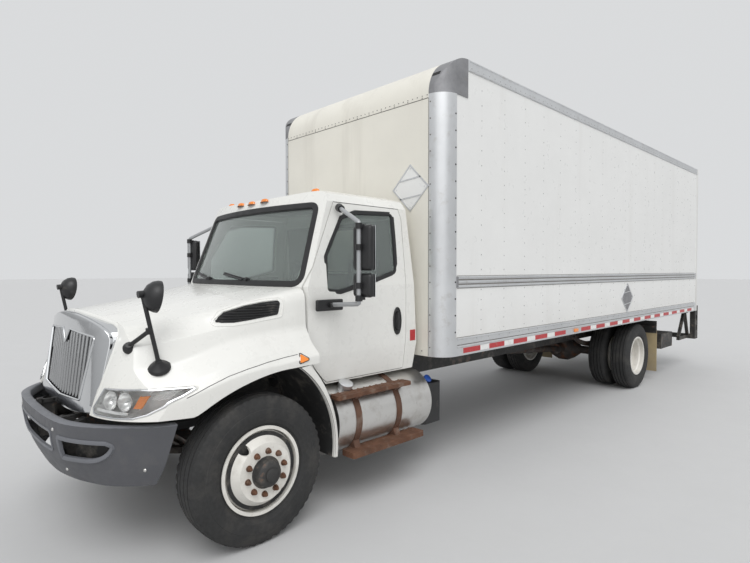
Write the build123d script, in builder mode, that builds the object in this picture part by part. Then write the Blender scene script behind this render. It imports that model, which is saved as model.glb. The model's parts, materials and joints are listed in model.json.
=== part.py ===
"""A conventional box truck with a van body and a tuck-under lift gate.

Millimetres, Z up, the ground at Z 0. The truck faces -Y, and its driver's side is +X.
Stations are counted rearward from the front axle, and row() turns one into Y.
"""

import os
from math import cos, radians, sin

from build123d import *

os.makedirs("parts", exist_ok=True)

# Overall sizes
wheelbase = 6835
front_overhang = 1112
box_front = 1786
box_length = 8011
box_width = 2591
dock_reach = 105

overall_length = front_overhang + box_front + box_length + dock_reach
axle_y = front_overhang - overall_length / 2
box_rear = box_front + box_length
box_half = box_width / 2
seat_gap = 0.3

# Wheels
tyre_radius = 512
tyre_width = 280
tread_width = 216
bead_radius = 291
rim_width = 236
hub_z = tyre_radius
front_wheel_x = 1033
dual_x = 925
dual_spacing = 343
spindle_radius = 44
kingpin_x = 850
kingpin_radius = 22
steer_arm = 190

# Chassis
rail_top = 1000
rail_height = 257
rail_outer = 432
rail_flange = 80
rail_plate = 9
rail_front = -880
rail_rear = 9620
rail_bottom = rail_top - rail_height

# Cab
cab_half = 1010
cab_wall = 55
firewall = 480
cab_floor = 1060
tunnel_half = 560
door_gap = 6
belt_z = 1745
cab_arch_radius = 812
door_hinge_x = 1012
door_hinge_station = 486

# Hood
hood_wall = 12
hood_hinge_station = -1000
hood_hinge_z = 895
hood_pin_radius = 12
grille_half = 585

# Van body
sill_height = 75
cross_height = 100
floor_thickness = 55
floor_bottom = rail_top + sill_height
bottom_rail_top = 1241
wall_top = 3739
roof_edge = 3842
post_radius = 184
nose_radius = 357
seam_z = roof_edge - nose_radius


def row(station):
    """Y of a station counted rearward from the front axle."""
    return axle_y + station


def side_plane(x):
    """Side view plane: its first coordinate is Y, its second Z."""
    return Plane.YZ.offset(x)


def front_plane(station):
    """Front view plane: its first coordinate is X, its second Z."""
    return Plane.XZ.offset(-row(station))


def wheel_plane(station):
    """Plane through an axle: X along the axle, then the radius."""
    return Plane(origin=(0, row(station), hub_z), x_dir=(1, 0, 0), z_dir=(0, -1, 0))


def wheel_axis(station):
    return Axis((0, row(station), hub_z), (1, 0, 0))


def stations(points):
    """Turns (station, height) points into the side view's (Y, Z)."""
    return [(row(s), z) for s, z in points]


# Tyres and disc wheels


def tyre_ring(centre):
    """One tyre: bead, bulged sidewall and crowned tread, turned about the axle."""
    half = tyre_width / 2
    tread = tread_width / 2
    bead = rim_width / 2 - 14
    with BuildSketch(mode=Mode.PRIVATE) as profile:
        with BuildLine():
            Polyline((centre + bead, bead_radius + 14), (centre + bead, bead_radius), (centre - bead, bead_radius),
                     (centre - bead, bead_radius + 14))
            ThreePointArc((centre - bead, bead_radius + 14), (centre - half, tyre_radius - 118),
                          (centre - tread, tyre_radius - 8))
            ThreePointArc((centre - tread, tyre_radius - 8), (centre, tyre_radius), (centre + tread, tyre_radius - 8))
            ThreePointArc((centre + tread, tyre_radius - 8), (centre + half, tyre_radius - 118),
                          (centre + bead, bead_radius + 14))
        make_face()
    return profile.sketch


def rim_profile(centre, dish, mount):
    """Half section of a rim and its disc. Dish is +1 where the disc bulges outboard, -1 inboard."""
    half = rim_width / 2
    skin = 9
    drop = bead_radius - 26
    disc = 11
    root = centre + dish * 62
    outline = [
        (centre - half, bead_radius + 10), (centre - half + skin, bead_radius + 10),
        (centre - half + 14, bead_radius - seat_gap), (centre - 60, bead_radius - seat_gap), (centre - 42, drop + skin),
        (centre + 42, drop + skin), (centre + 60, bead_radius - seat_gap),
        (centre + half - 14, bead_radius - seat_gap), (centre + half - skin, bead_radius + 10),
        (centre + half, bead_radius + 10), (centre + half, bead_radius - skin - 4), (centre + 64, bead_radius - skin - 4),
        (centre + 46, drop), (centre - 46, drop), (centre - 64, bead_radius - skin - 4),
        (centre - half, bead_radius - skin - 4),
    ]
    web = [
        (root - 26, drop + 4), (root + 26, drop + 4), (root + 26, drop - 14), (mount + disc, 196), (mount + disc, 60),
        (mount, 60), (mount, 190), (root - 26, drop - 24),
    ]
    if dish < 0:
        web = [
            (root - 26, drop + 4), (root + 26, drop + 4), (root + 26, drop - 24), (mount + disc, 190),
            (mount + disc, 60), (mount, 60), (mount, 196), (root - 26, drop - 14),
        ]
    return outline, web


front_mount = front_wheel_x + 150
rear_outer_x = dual_x + dual_spacing / 2
rear_inner_x = dual_x - dual_spacing / 2
hand_hole_radius = 34
hand_hole_circle = 226

with BuildPart() as tyre_front_left:
    with BuildSketch(wheel_plane(0)):
        add(tyre_ring(front_wheel_x))
    revolve(axis=wheel_axis(0))
tyre_front_left.part.label = "tyre_front_left"
export_step(tyre_front_left.part, "parts/tyre_front_left.step")

with BuildPart() as wheel_front_left:
    with BuildSketch(wheel_plane(0)):
        for outline in rim_profile(front_wheel_x, 1, front_mount):
            with BuildLine():
                Polyline(*outline, close=True)
            make_face()
        with BuildLine():
            Polyline((front_mount - 150, 100), (front_mount - 60, 104), (front_mount - 40, 130), (front_mount + 1, 130),
                     (front_mount + 1, 92), (front_mount + 46, 84), (front_mount + 66, 58), (front_mount + 66, 0),
                     (front_mount + 40, 0), (front_mount + 40, spindle_radius + seat_gap),
                     (front_mount - 150, spindle_radius + seat_gap), close=True)
        make_face()
        with BuildLine():
            Polyline((front_mount - 50, 120), (front_mount - 50, 212), (front_mount - 220, 212),
                     (front_mount - 220, 200), (front_mount - 64, 200), (front_mount - 64, 120), close=True)
        make_face()
        with BuildLine():
            Polyline((front_mount - 64, 96), (front_mount - 64, 128), (front_mount - 38, 128), (front_mount - 38, 96),
                     close=True)
        make_face()
    revolve(axis=wheel_axis(0))
    with Locations(Plane(origin=(front_mount + 60, row(0), hub_z), x_dir=(0, 1, 0), z_dir=(1, 0, 0))):
        with PolarLocations(hand_hole_circle, 2, start_angle=130):
            Hole(hand_hole_radius, depth=120)
wheel_front_left.part.label = "wheel_front_left"
export_step(wheel_front_left.part, "parts/wheel_front_left.step")

with BuildPart() as tyres_rear_left:
    with BuildSketch(wheel_plane(wheelbase)):
        add(tyre_ring(rear_outer_x))
        add(tyre_ring(rear_inner_x))
    revolve(axis=wheel_axis(wheelbase))
tyres_rear_left.part.label = "tyres_rear_left"
export_step(tyres_rear_left.part, "parts/tyres_rear_left.step")

with BuildPart() as wheels_rear_left:
    with BuildSketch(wheel_plane(wheelbase)):
        for centre, dish, mount in ((rear_inner_x, 1, dual_x - 11), (rear_outer_x, -1, dual_x)):
            for outline in rim_profile(centre, dish, mount):
                with BuildLine():
                    Polyline(*outline, close=True)
                make_face()
        with BuildLine():
            Polyline((dual_x - 150, 96), (dual_x - 50, 96), (dual_x - 50, 140), (dual_x + 12, 140), (dual_x + 12, 96),
                     (dual_x + 118, 90), (dual_x + 130, 78), (dual_x + 130, 0), (dual_x + 90, 0),
                     (dual_x + 90, spindle_radius + seat_gap), (dual_x - 150, spindle_radius + seat_gap), close=True)
        make_face()
        with BuildLine():
            Polyline((dual_x - 30, 130), (dual_x - 30, 212), (dual_x - 250, 212), (dual_x - 250, 200),
                     (dual_x - 44, 200), (dual_x - 44, 130), close=True)
        make_face()
    revolve(axis=wheel_axis(wheelbase))
    with Locations(Plane(origin=(dual_x + 200, row(wheelbase), hub_z), x_dir=(0, 1, 0), z_dir=(1, 0, 0))):
        with PolarLocations(hand_hole_circle, 2, start_angle=65):
            Hole(hand_hole_radius, depth=400)
wheels_rear_left.part.label = "wheels_rear_left"
export_step(wheels_rear_left.part, "parts/wheels_rear_left.step")

# Steering knuckles, tie rod and axles
knuckle_half = 95
fork_thickness = 36
eye_half = knuckle_half - fork_thickness - 0.5
kingpin_y = row(0)
tie_end_x = kingpin_x
knuckle_inner = 48

with BuildPart() as knuckle_left:
    with BuildSketch(wheel_plane(0)):
        with BuildLine():
            Polyline((kingpin_x + knuckle_inner, 0), (kingpin_x + knuckle_inner, 90), (kingpin_x + 78, 90),
                     (kingpin_x + 100, 60), (front_mount - 160, spindle_radius), (front_mount + 30, spindle_radius),
                     (front_mount + 30, 0), close=True)
        make_face()
    revolve(axis=wheel_axis(0))
    for low in (hub_z - knuckle_half, hub_z + knuckle_half - fork_thickness):
        with BuildSketch(Plane.XY.offset(low)):
            with Locations((kingpin_x, kingpin_y)):
                Circle(46)
            with Locations((kingpin_x + 40, kingpin_y)):
                Rectangle(64, 92)
        extrude(amount=fork_thickness)
    with BuildSketch(Plane.XY.offset(hub_z - knuckle_half + 1)):
        with Locations((kingpin_x, kingpin_y)):
            Circle(kingpin_radius)
    extrude(amount=2 * knuckle_half - 2)
    with BuildSketch(Plane.XY.offset(hub_z - knuckle_half)):
        with BuildLine():
            Polyline((kingpin_x - 34, kingpin_y), (tie_end_x - 24, kingpin_y + steer_arm),
                     (tie_end_x + 24, kingpin_y + steer_arm), (kingpin_x + 34, kingpin_y), close=True)
        make_face()
        with Locations((tie_end_x, kingpin_y + steer_arm)):
            Circle(26)
            Circle(12 + seat_gap, mode=Mode.SUBTRACT)
    extrude(amount=fork_thickness - 6)
knuckle_left.part.label = "knuckle_left"
export_step(knuckle_left.part, "parts/knuckle_left.step")

with BuildPart() as tie_rod:
    tube_z = hub_z - knuckle_half - 30
    with BuildSketch(Plane.YZ.offset(-tie_end_x + 20)):
        with Locations((kingpin_y + steer_arm, tube_z)):
            Circle(17)
    extrude(amount=2 * tie_end_x - 40)
    for sign in (-1, 1):
        with BuildSketch(Plane.XY.offset(tube_z - 22)):
            with Locations((sign * tie_end_x, kingpin_y + steer_arm)):
                Circle(25)
        extrude(amount=44)
        with BuildSketch(Plane.XY.offset(tube_z)):
            with Locations((sign * tie_end_x, kingpin_y + steer_arm)):
                Circle(12)
        extrude(amount=30 + fork_thickness)
tie_rod.part.label = "tie_rod"
export_step(tie_rod.part, "parts/tie_rod.step")

beam_depth = 110
spring_x = 392
spring_width = 76
beam_top = 480
beam_bottom = 388

with BuildPart() as front_axle:
    with BuildSketch(front_plane(-beam_depth / 2)):
        with BuildLine():
            Polyline((-kingpin_x, hub_z - eye_half), (-kingpin_x, hub_z + eye_half), (-kingpin_x + 70, hub_z + eye_half),
                     (-560, beam_top), (560, beam_top), (kingpin_x - 70, hub_z + eye_half),
                     (kingpin_x, hub_z + eye_half), (kingpin_x, hub_z - eye_half), (kingpin_x - 90, hub_z - eye_half),
                     (600, beam_bottom), (-600, beam_bottom), (-kingpin_x + 90, hub_z - eye_half), close=True)
        make_face()
    extrude(amount=-beam_depth)
    for face in (-beam_depth / 2 - 1, beam_depth / 2 + 1 - 40):
        with BuildSketch(front_plane(face)):
            with BuildLine():
                Polyline((-600, beam_top - 18), (600, beam_top - 18), (620, beam_bottom + 22),
                         (-620, beam_bottom + 22), close=True)
            make_face()
        extrude(amount=-39, mode=Mode.SUBTRACT)
    for sign in (-1, 1):
        with BuildSketch(Plane.XY.offset(hub_z - eye_half)):
            with Locations((sign * (kingpin_x + 60), row(0))):
                Rectangle(120, beam_depth + 10)
        extrude(amount=2 * eye_half, mode=Mode.SUBTRACT)
        with BuildSketch(Plane.XY.offset(hub_z - eye_half)):
            with Locations((sign * kingpin_x, row(0))):
                Circle(42)
        extrude(amount=2 * eye_half)
        with BuildSketch(Plane.XY.offset(hub_z - eye_half)):
            with Locations((sign * kingpin_x, row(0))):
                Circle(kingpin_radius + seat_gap)
        extrude(amount=2 * eye_half, mode=Mode.SUBTRACT)
front_axle.part.label = "front_axle"
export_step(front_axle.part, "parts/front_axle.step")

axle_tube = 66
rear_spring_x = 516
rear_spring_base = hub_z + axle_tube + 20

with BuildPart() as rear_axle:
    with BuildSketch(wheel_plane(wheelbase)):
        with BuildLine():
            Polyline((-dual_x - 60, 0), (-dual_x - 60, spindle_radius), (-dual_x + 160, spindle_radius),
                     (-dual_x + 200, axle_tube), (-300, axle_tube), (-190, 150), (-70, 205), (70, 205), (190, 150),
                     (300, axle_tube), (dual_x - 200, axle_tube), (dual_x - 160, spindle_radius),
                     (dual_x + 60, spindle_radius), (dual_x + 60, 0), close=True)
        make_face()
    revolve(axis=wheel_axis(wheelbase))
    with BuildSketch(front_plane(wheelbase)):
        with Locations((0, hub_z + 10)):
            Circle(130)
    extrude(amount=300, taper=9)
    for sign in (-1, 1):
        with BuildSketch(Plane.XY.offset(hub_z)):
            with Locations((sign * rear_spring_x, row(wheelbase))):
                Rectangle(90, 180)
        extrude(amount=axle_tube + 20)
rear_axle.part.label = "rear_axle"
export_step(rear_axle.part, "parts/rear_axle.step")

# Leaf springs with their hangers
front_spring = (-640, 0, 640, 655, beam_top, 52)
rear_spring = (wheelbase - 760, wheelbase, wheelbase + 760, 800, rear_spring_base, 86)

with BuildPart() as leaf_springs:
    for spring_side, (first, middle, last, eye_z, base_z, pack) in (
        (spring_x, front_spring), (-spring_x, front_spring), (rear_spring_x, rear_spring),
        (-rear_spring_x, rear_spring),
    ):
        with BuildSketch(side_plane(spring_side - spring_width / 2)):
            with BuildLine():
                ThreePointArc((row(first), eye_z), (row(middle), base_z), (row(last), eye_z))
                Line((row(last), eye_z), (row(last), eye_z + 16))
                ThreePointArc((row(last), eye_z + 16), (row(middle), base_z + pack), (row(first), eye_z + 16))
                Line((row(first), eye_z + 16), (row(first), eye_z))
            make_face()
            with Locations((row(first), eye_z + 8), (row(last), eye_z + 8)):
                Circle(26)
        extrude(amount=spring_width)
    for sign in (-1, 1):
        for station in (front_spring[0], front_spring[2]):
            with BuildSketch(side_plane(sign * spring_x)):
                with BuildLine():
                    Polyline(*stations([(station - 46, rail_bottom), (station + 46, rail_bottom),
                                        (station + 30, front_spring[3] - 10), (station - 30, front_spring[3] - 10)]),
                             close=True)
                make_face()
            extrude(amount=12, both=True)
        for station in (rear_spring[0], rear_spring[2]):
            with BuildSketch(side_plane(sign * rail_outer)):
                with BuildLine():
                    Polyline(*stations([(station - 80, rail_top - 40), (station + 80, rail_top - 40),
                                        (station + 34, rear_spring[3] - 24), (station - 34, rear_spring[3] - 24)]),
                             close=True)
                make_face()
            extrude(amount=sign * (rear_spring_x - rail_outer))
leaf_springs.part.label = "leaf_springs"
export_step(leaf_springs.part, "parts/leaf_springs.step")

# Ladder frame
cross_stations = (-840, 1700, 3000, 4300, 5500, 6400, 7400, 8300, 9560)
cross_depth = 70
cross_z = (830, 960)

with BuildPart() as frame_rails:
    with BuildSketch(front_plane(rail_front)):
        for sign in (-1, 1):
            web = sign * rail_outer
            lip = sign * (rail_outer - rail_flange)
            back = sign * (rail_outer - rail_plate)
            with BuildLine():
                Polyline((web, rail_bottom), (web, rail_top), (lip, rail_top), (lip, rail_top - rail_plate),
                         (back, rail_top - rail_plate), (back, rail_bottom + rail_plate),
                         (lip, rail_bottom + rail_plate), (lip, rail_bottom), close=True)
            make_face()
    extrude(amount=-(rail_rear - rail_front))
    for station in cross_stations:
        with BuildSketch(side_plane(-rail_outer + rail_plate / 2)):
            with BuildLine():
                Polyline(*stations([(station, cross_z[0]), (station + cross_depth, cross_z[0]),
                                    (station + cross_depth, cross_z[0] + 8), (station + 8, cross_z[0] + 8),
                                    (station + 8, cross_z[1] - 8), (station + cross_depth, cross_z[1] - 8),
                                    (station + cross_depth, cross_z[1]), (station, cross_z[1])]), close=True)
            make_face()
        extrude(amount=2 * rail_outer - rail_plate)
frame_rails.part.label = "frame_rails"
export_step(frame_rails.part, "parts/frame_rails.step")

# Engine, gearbox and propeller shaft
engine_front = -480
engine_rear = 300
engine_half = 300
engine_bottom = 640
engine_top = 1430
gearbox_rear = 1150
gearbox_z = 780

with BuildPart() as gearbox:
    with BuildSketch(front_plane(engine_rear)):
        with Locations((0, gearbox_z)):
            Circle(225)
    with BuildSketch(front_plane(engine_rear + 180)):
        with Locations((0, gearbox_z)):
            Circle(185)
    with BuildSketch(front_plane(gearbox_rear - 160)):
        with Locations((0, gearbox_z)):
            Circle(150)
    with BuildSketch(front_plane(gearbox_rear)):
        with Locations((0, gearbox_z)):
            Circle(80)
    loft(ruled=True)
    with BuildSketch(front_plane(900)):
        with Locations((0, rail_bottom + rail_plate + 28)):
            Rectangle(2 * (rail_outer - rail_plate), 50)
    extrude(amount=-70)

with BuildPart() as engine:
    with BuildSketch(Plane.XY.offset(engine_bottom)):
        with Locations((0, row((engine_front + engine_rear) / 2))):
            Rectangle(2 * engine_half - 40, engine_rear - engine_front)
    extrude(amount=engine_top - engine_bottom)
    for sign in (-1, 1):
        for station in (-360, 180):
            with BuildSketch(front_plane(station)):
                with BuildLine():
                    Polyline((sign * (engine_half - 40), 780), (sign * (engine_half - 40), 920),
                             (sign * (rail_outer - rail_plate), 880), (sign * (rail_outer - rail_plate), 840),
                             close=True)
                make_face()
            extrude(amount=-90)
    add(gearbox.part)
engine.part.label = "engine"
export_step(engine.part, "parts/engine.step")

joint_points = (
    (gearbox_rear, gearbox_z), (3035, 738), (4335, 712), (wheelbase - 300, hub_z + 10),
)
shaft_radius = 48
bearing_radius = 62

with BuildPart() as propeller_shaft:
    for (first, first_z), (last, last_z) in zip(joint_points, joint_points[1:]):
        start = Vector(0, row(first), first_z)
        end = Vector(0, row(last), last_z)
        with BuildSketch(Plane(origin=start, z_dir=end - start)):
            Circle(shaft_radius)
        extrude(amount=(end - start).length)
    for station, height in joint_points[1:-1]:
        with BuildSketch(front_plane(station - 25)):
            with Locations((0, height)):
                Circle(bearing_radius)
            with Locations((0, (height + cross_z[0]) / 2)):
                Rectangle(150, cross_z[0] - height)
        extrude(amount=-50)
    add(gearbox.part, mode=Mode.SUBTRACT)
    add(rear_axle.part, mode=Mode.SUBTRACT)
propeller_shaft.part.label = "propeller_shaft"
export_step(propeller_shaft.part, "parts/propeller_shaft.step")

# Front bumper: a moulded face that leans forward and wraps round the corners
bumper_top = 932
bumper_bottom = 480
bumper_wall = 22
bumper_ledge = 62
# columns: height, centre station, shoulder x and station, corner x and station, end x and station
bumper_plan = (
    (bumper_bottom, -985, 640, -905, 870, -790, 960, -640),
    (bumper_top, -front_overhang, 700, -1040, 1020, -880, 1172, -590),
)
# columns: middle x, half width, low z, high z
bumper_openings = ((0, 390, 610, 780), (655, 150, 590, 760), (-655, 150, 590, 760))


def bumper_outline(values, inset, height, deep):
    """Closed plan outline of the bumper at a height, its face set in and its back at station deep."""
    centre, shoulder_x, shoulder, corner_x, corner, end_x, end = values[1:]
    with BuildSketch(Plane.XY.offset(height), mode=Mode.PRIVATE) as outline:
        with BuildLine():
            ThreePointArc((-shoulder_x, row(shoulder + inset)), (0, row(centre + inset)),
                          (shoulder_x, row(shoulder + inset)))
            ThreePointArc((shoulder_x, row(shoulder + inset)), (corner_x - 0.7 * inset, row(corner + 0.7 * inset)),
                          (end_x - inset, row(end)))
            Polyline((end_x - inset, row(end)), (end_x - inset, row(deep)), (-end_x + inset, row(deep)),
                     (-end_x + inset, row(end)))
            ThreePointArc((-end_x + inset, row(end)), (-corner_x + 0.7 * inset, row(corner + 0.7 * inset)),
                          (-shoulder_x, row(shoulder + inset)))
        make_face()
    return outline.sketch


bumper_back = -560
steer_clearance = 12
tread_corner = front_wheel_x + tread_width / 2 - kingpin_x
tyre_sweep = (tread_corner ** 2 + tyre_radius ** 2) ** 0.5 + steer_clearance

with BuildPart() as bumper_hollow:
    for values in bumper_plan:
        add(bumper_outline(values, bumper_wall, values[0], bumper_back + 100))
    loft(ruled=True)

with BuildPart() as front_bumper:
    for values in bumper_plan:
        add(bumper_outline(values, 0, values[0], bumper_back))
    loft(ruled=True)
    add(bumper_hollow.part.moved(Location((0, 0, -bumper_wall))), mode=Mode.SUBTRACT)
    with BuildSketch(Plane.XY.offset(bumper_top - 60)):
        add(bumper_outline(bumper_plan[1], bumper_ledge, 0, bumper_back + 100))
    extrude(amount=120, mode=Mode.SUBTRACT)
    for middle, half, low, high in bumper_openings:
        with BuildSketch(front_plane(-1250)):
            with Locations((middle, (low + high) / 2)):
                RectangleRounded(2 * half, high - low, 60)
        extrude(amount=-500, mode=Mode.SUBTRACT)
    with BuildSketch(Plane.XY.offset(bumper_bottom - 1)):
        with Locations((kingpin_x, row(0)), (-kingpin_x, row(0))):
            Circle(tyre_sweep)
    extrude(amount=bumper_top - bumper_bottom, mode=Mode.SUBTRACT)
front_bumper.part.label = "front_bumper"
export_step(front_bumper.part, "parts/front_bumper.step")

bumper_bracket_x = (rail_outer - rail_flange, rail_outer - rail_plate)
hood_arm_x = (306, 324)
hinge_plate_x = (326, rail_outer - rail_flange)

radiator_front = -725

with BuildPart() as radiator:
    with BuildSketch(front_plane(radiator_front)):
        with Locations((0, 1080)):
            RectangleRounded(690, 700, 30)
    extrude(amount=-110)
    with BuildSketch(Plane.XY.offset(rail_top)):
        with Locations((0, row(radiator_front + 55))):
            Rectangle(860, 90)
    extrude(amount=14)
radiator.part.label = "radiator"
export_step(radiator.part, "parts/radiator.step")

# Cab: a block trimmed by its front, side and plan outlines, hollowed by the same block set in
# columns: height, half width, rear station
cab_sections = (
    (975, 1000, 1690), (1200, cab_half, 1738), (belt_z, cab_half, 1706), (2430, 938, 1664), (2500, 900, 1640),
    (2537, 780, 1560),
)
cab_nose = 335
nose_curve = 3300
screen_rake = 0.385
roof_front = ((500, 2462), (700, 2518), (900, 2537))


def nose_outline(station, reach=1250, back=2300):
    """Plan area behind the curved front of the cab, its nose at a station."""
    with BuildSketch(mode=Mode.PRIVATE) as outline:
        with BuildLine():
            sag = nose_curve - (nose_curve ** 2 - reach ** 2) ** 0.5
            ThreePointArc((-reach, row(station + sag)), (0, row(station)), (reach, row(station + sag)))
            Polyline((reach, row(station + sag)), (reach, row(back)), (-reach, row(back)),
                     (-reach, row(station + sag)))
        make_face()
    return outline.sketch


def cab_block(inset):
    """The cab's solid block, every face set in by inset."""
    base = cab_sections[0][0]
    roof = cab_sections[-1][0]
    slant = (1 + screen_rake ** 2) ** 0.5
    with BuildPart() as nose:
        with BuildSketch(Plane.XY.offset(base - 50)):
            add(nose_outline(cab_nose + inset))
        extrude(amount=belt_z - base + 50)
        with BuildSketch(Plane.XY.offset(belt_z)):
            add(nose_outline(cab_nose + inset * slant, back=1900))
        extrude(amount=(roof + 50 - belt_z) * slant, dir=(0, screen_rake, 1))
    with BuildPart() as block:
        with BuildSketch(front_plane(2000)):
            right = [(half - inset, min(max(z, base + inset), roof - inset)) for z, half, rear in cab_sections]
            with BuildLine():
                Polyline(*right, *[(-x, z) for x, z in reversed(right)], close=True)
            make_face()
        extrude(amount=2000)
        with BuildSketch(side_plane(-1300)):
            back = [(rear - inset, min(max(z, base + inset), roof - inset)) for z, half, rear in cab_sections]
            front = [(x, z - inset) for x, z in reversed(roof_front)]
            with BuildLine():
                Polyline(*stations(back + front + [(200, roof_front[0][1] - inset), (200, base + inset)]), close=True)
            make_face()
        extrude(amount=2600, mode=Mode.INTERSECT)
        add(nose.part, mode=Mode.INTERSECT)
        with BuildSketch(Plane.XY.offset(600)):
            with Locations((0, row(firewall + inset - 200))):
                Rectangle(2400, 400)
        extrude(amount=1000 + inset, mode=Mode.SUBTRACT)
        with BuildSketch(Plane.XY.offset(600)):
            with Locations((0, row(1100))):
                Rectangle(2 * (tunnel_half + inset), 2000)
        extrude(amount=cab_floor - 600 + inset, mode=Mode.SUBTRACT)
        with BuildSketch(side_plane(-1300)):
            with Locations((row(0), hub_z)):
                Circle(cab_arch_radius + inset)
        extrude(amount=2600, mode=Mode.SUBTRACT)
    return block.part


def door_outline(grow):
    """Side view of the left door: front edge, wheel-arch curve, sill and raked upper front edge."""
    with BuildSketch(mode=Mode.PRIVATE) as outline:
        with BuildLine():
            Polyline(*stations([(482, 1250), (482, belt_z), (800, 2424), (1560, 2424), (1592, 2330), (1592, 1300),
                                (1560, 990), (680, 990)]))
            ThreePointArc((row(680), 990), (row(570), 1100), (row(482), 1250))
        make_face()
        if grow:
            offset(amount=grow)
    return outline.sketch


window_points = ((682, 1706), (682, 1985), (900, 2352), (1484, 2380), (1484, 1858), (1240, 1792), (815, 1696))


def window_outline(grow):
    """Side view of the door's window, with its stepped sill."""
    with BuildSketch(mode=Mode.PRIVATE) as outline:
        with BuildLine():
            Polyline(*stations(window_points), close=True)
        make_face()
        fillet(outline.vertices(), 34)
        if grow:
            offset(amount=grow)
    return outline.sketch


windscreen_points = ((-925, 1772), (925, 1772), (848, 2396), (-848, 2396))
rear_window_points = ((-420, 1850), (420, 1850), (420, 2300), (-420, 2300))


def screen_outline(points, grow):
    """Front view of the windscreen or the rear window."""
    with BuildSketch(mode=Mode.PRIVATE) as outline:
        with BuildLine():
            Polyline(*points, close=True)
        make_face()
        fillet(outline.vertices(), 60)
        if grow:
            offset(amount=grow)
    return outline.sketch


cab_outer = cab_block(0)
cab_inner = cab_block(cab_wall)
door_inner_low = 930
door_inner_high = 840


def door_prism(grow):
    """The left door's zone of the cab wall, deeper above the belt where the cab narrows."""
    with BuildPart() as prism:
        with BuildSketch(side_plane(door_inner_low)):
            add(door_outline(grow))
        extrude(amount=300)
        with BuildSketch(side_plane(door_inner_high)):
            add(door_outline(grow))
            with Locations((row(1000), 1300)):
                Rectangle(2000, 2 * (belt_z - 1300), mode=Mode.SUBTRACT)
        extrude(amount=300)
    return prism.part


door_hole = door_prism(door_gap)

with BuildPart() as cab_shell:
    add(cab_outer)
    add(cab_inner, mode=Mode.SUBTRACT)
    add(door_hole, mode=Mode.SUBTRACT)
    mirror(door_hole, about=Plane.YZ, mode=Mode.SUBTRACT)
    with BuildSketch(front_plane(1200)):
        add(screen_outline(windscreen_points, 0))
    extrude(amount=1200, mode=Mode.SUBTRACT)
    with BuildSketch(front_plane(1500)):
        add(screen_outline(rear_window_points, 0))
    extrude(amount=-400, mode=Mode.SUBTRACT)
cab_shell.part.label = "cab_shell"
export_step(cab_shell.part, "parts/cab_shell.step")

door_swing = 1592 - door_hinge_station

with BuildPart() as door_left:
    add(door_prism(0))
    with BuildSketch(Plane.XY.offset(900)):
        with Locations((door_hinge_x, row(door_hinge_station))):
            Circle(door_swing)
    extrude(amount=1700, mode=Mode.INTERSECT)
    with BuildSketch(side_plane(700)):
        add(window_outline(0))
    extrude(amount=500, mode=Mode.SUBTRACT)
    add(cab_outer, mode=Mode.INTERSECT)
    add(cab_inner, mode=Mode.SUBTRACT)
door_left.part.label = "door_left"
export_step(door_left.part, "parts/door_left.step")

glass_depth = (16, 22)
pane_outer = cab_block(glass_depth[0])
pane_inner = cab_block(glass_depth[1])

with BuildPart() as door_glass_left:
    with BuildSketch(side_plane(700)):
        add(window_outline(-seat_gap))
    extrude(amount=500)
    add(pane_outer, mode=Mode.INTERSECT)
    add(pane_inner, mode=Mode.SUBTRACT)
door_glass_left.part.label = "door_glass_left"
export_step(door_glass_left.part, "parts/door_glass_left.step")

with BuildPart() as cab_glass:
    with BuildSketch(front_plane(1200)):
        add(screen_outline(windscreen_points, -seat_gap))
    extrude(amount=1200)
    with BuildSketch(front_plane(1500)):
        add(screen_outline(rear_window_points, -seat_gap))
    extrude(amount=-400)
    add(pane_outer, mode=Mode.INTERSECT)
    add(pane_inner, mode=Mode.SUBTRACT)
cab_glass.part.label = "cab_glass"
export_step(cab_glass.part, "parts/cab_glass.step")


# Hood: lofted sections from the grille to the cab
hood_rear = 468
hood_base = 940
flare_drop = 75
# columns: station, crown z, ridge, shoulder, crease, waist, flare (each x and z), edge x
hood_sections = (
    (-1060, 1512, 360, 1490, 560, 1440, 700, 1350, 740, 1280, 870, 1120, 925),
    (-600, 1602, 430, 1572, 705, 1505, 895, 1412, 955, 1270, 1068, 1150, 1120),
    (-150, 1672, 500, 1648, 900, 1560, 978, 1483, 1000, 1390, 1130, 1270, 1185),
    (200, 1728, 560, 1710, 955, 1640, 1000, 1508, 1008, 1425, 1130, 1300, 1185),
    (hood_rear, 1762, 620, 1754, 1000, 1737, 1010, 1526, 1012, 1440, 1090, 1330, 1180),
)


def hood_block(inset):
    """Solid under the hood's skin, its sections set in by inset."""
    with BuildPart() as block:
        for station, crown, *rest, edge in hood_sections:
            points = [(edge - inset, hood_base - 60)]
            points.append((edge - inset, rest[9] - flare_drop))
            for x, z in zip(rest[-2::-2], rest[::-2]):
                points.append((x - inset * x / edge, z - inset))
            with BuildSketch(front_plane(station)):
                with BuildLine():
                    Polyline(*points)
                    Polyline(*[(-x, z) for x, z in points])
                    ThreePointArc(points[-1], (0, crown - inset), (-points[-1][0], points[-1][1]))
                    Line(points[0], (-points[0][0], points[0][1]))
                make_face()
        loft(ruled=True)
    return block.part


# plan of the hood's front at its lower edge: nose, grille corner, fender corner, fender side
front_z = 990
front_nose = -995
front_shoulder = (600, -938)
front_corner = (945, -805)
front_side = (1186, -480)
front_rake = 0.42


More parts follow.
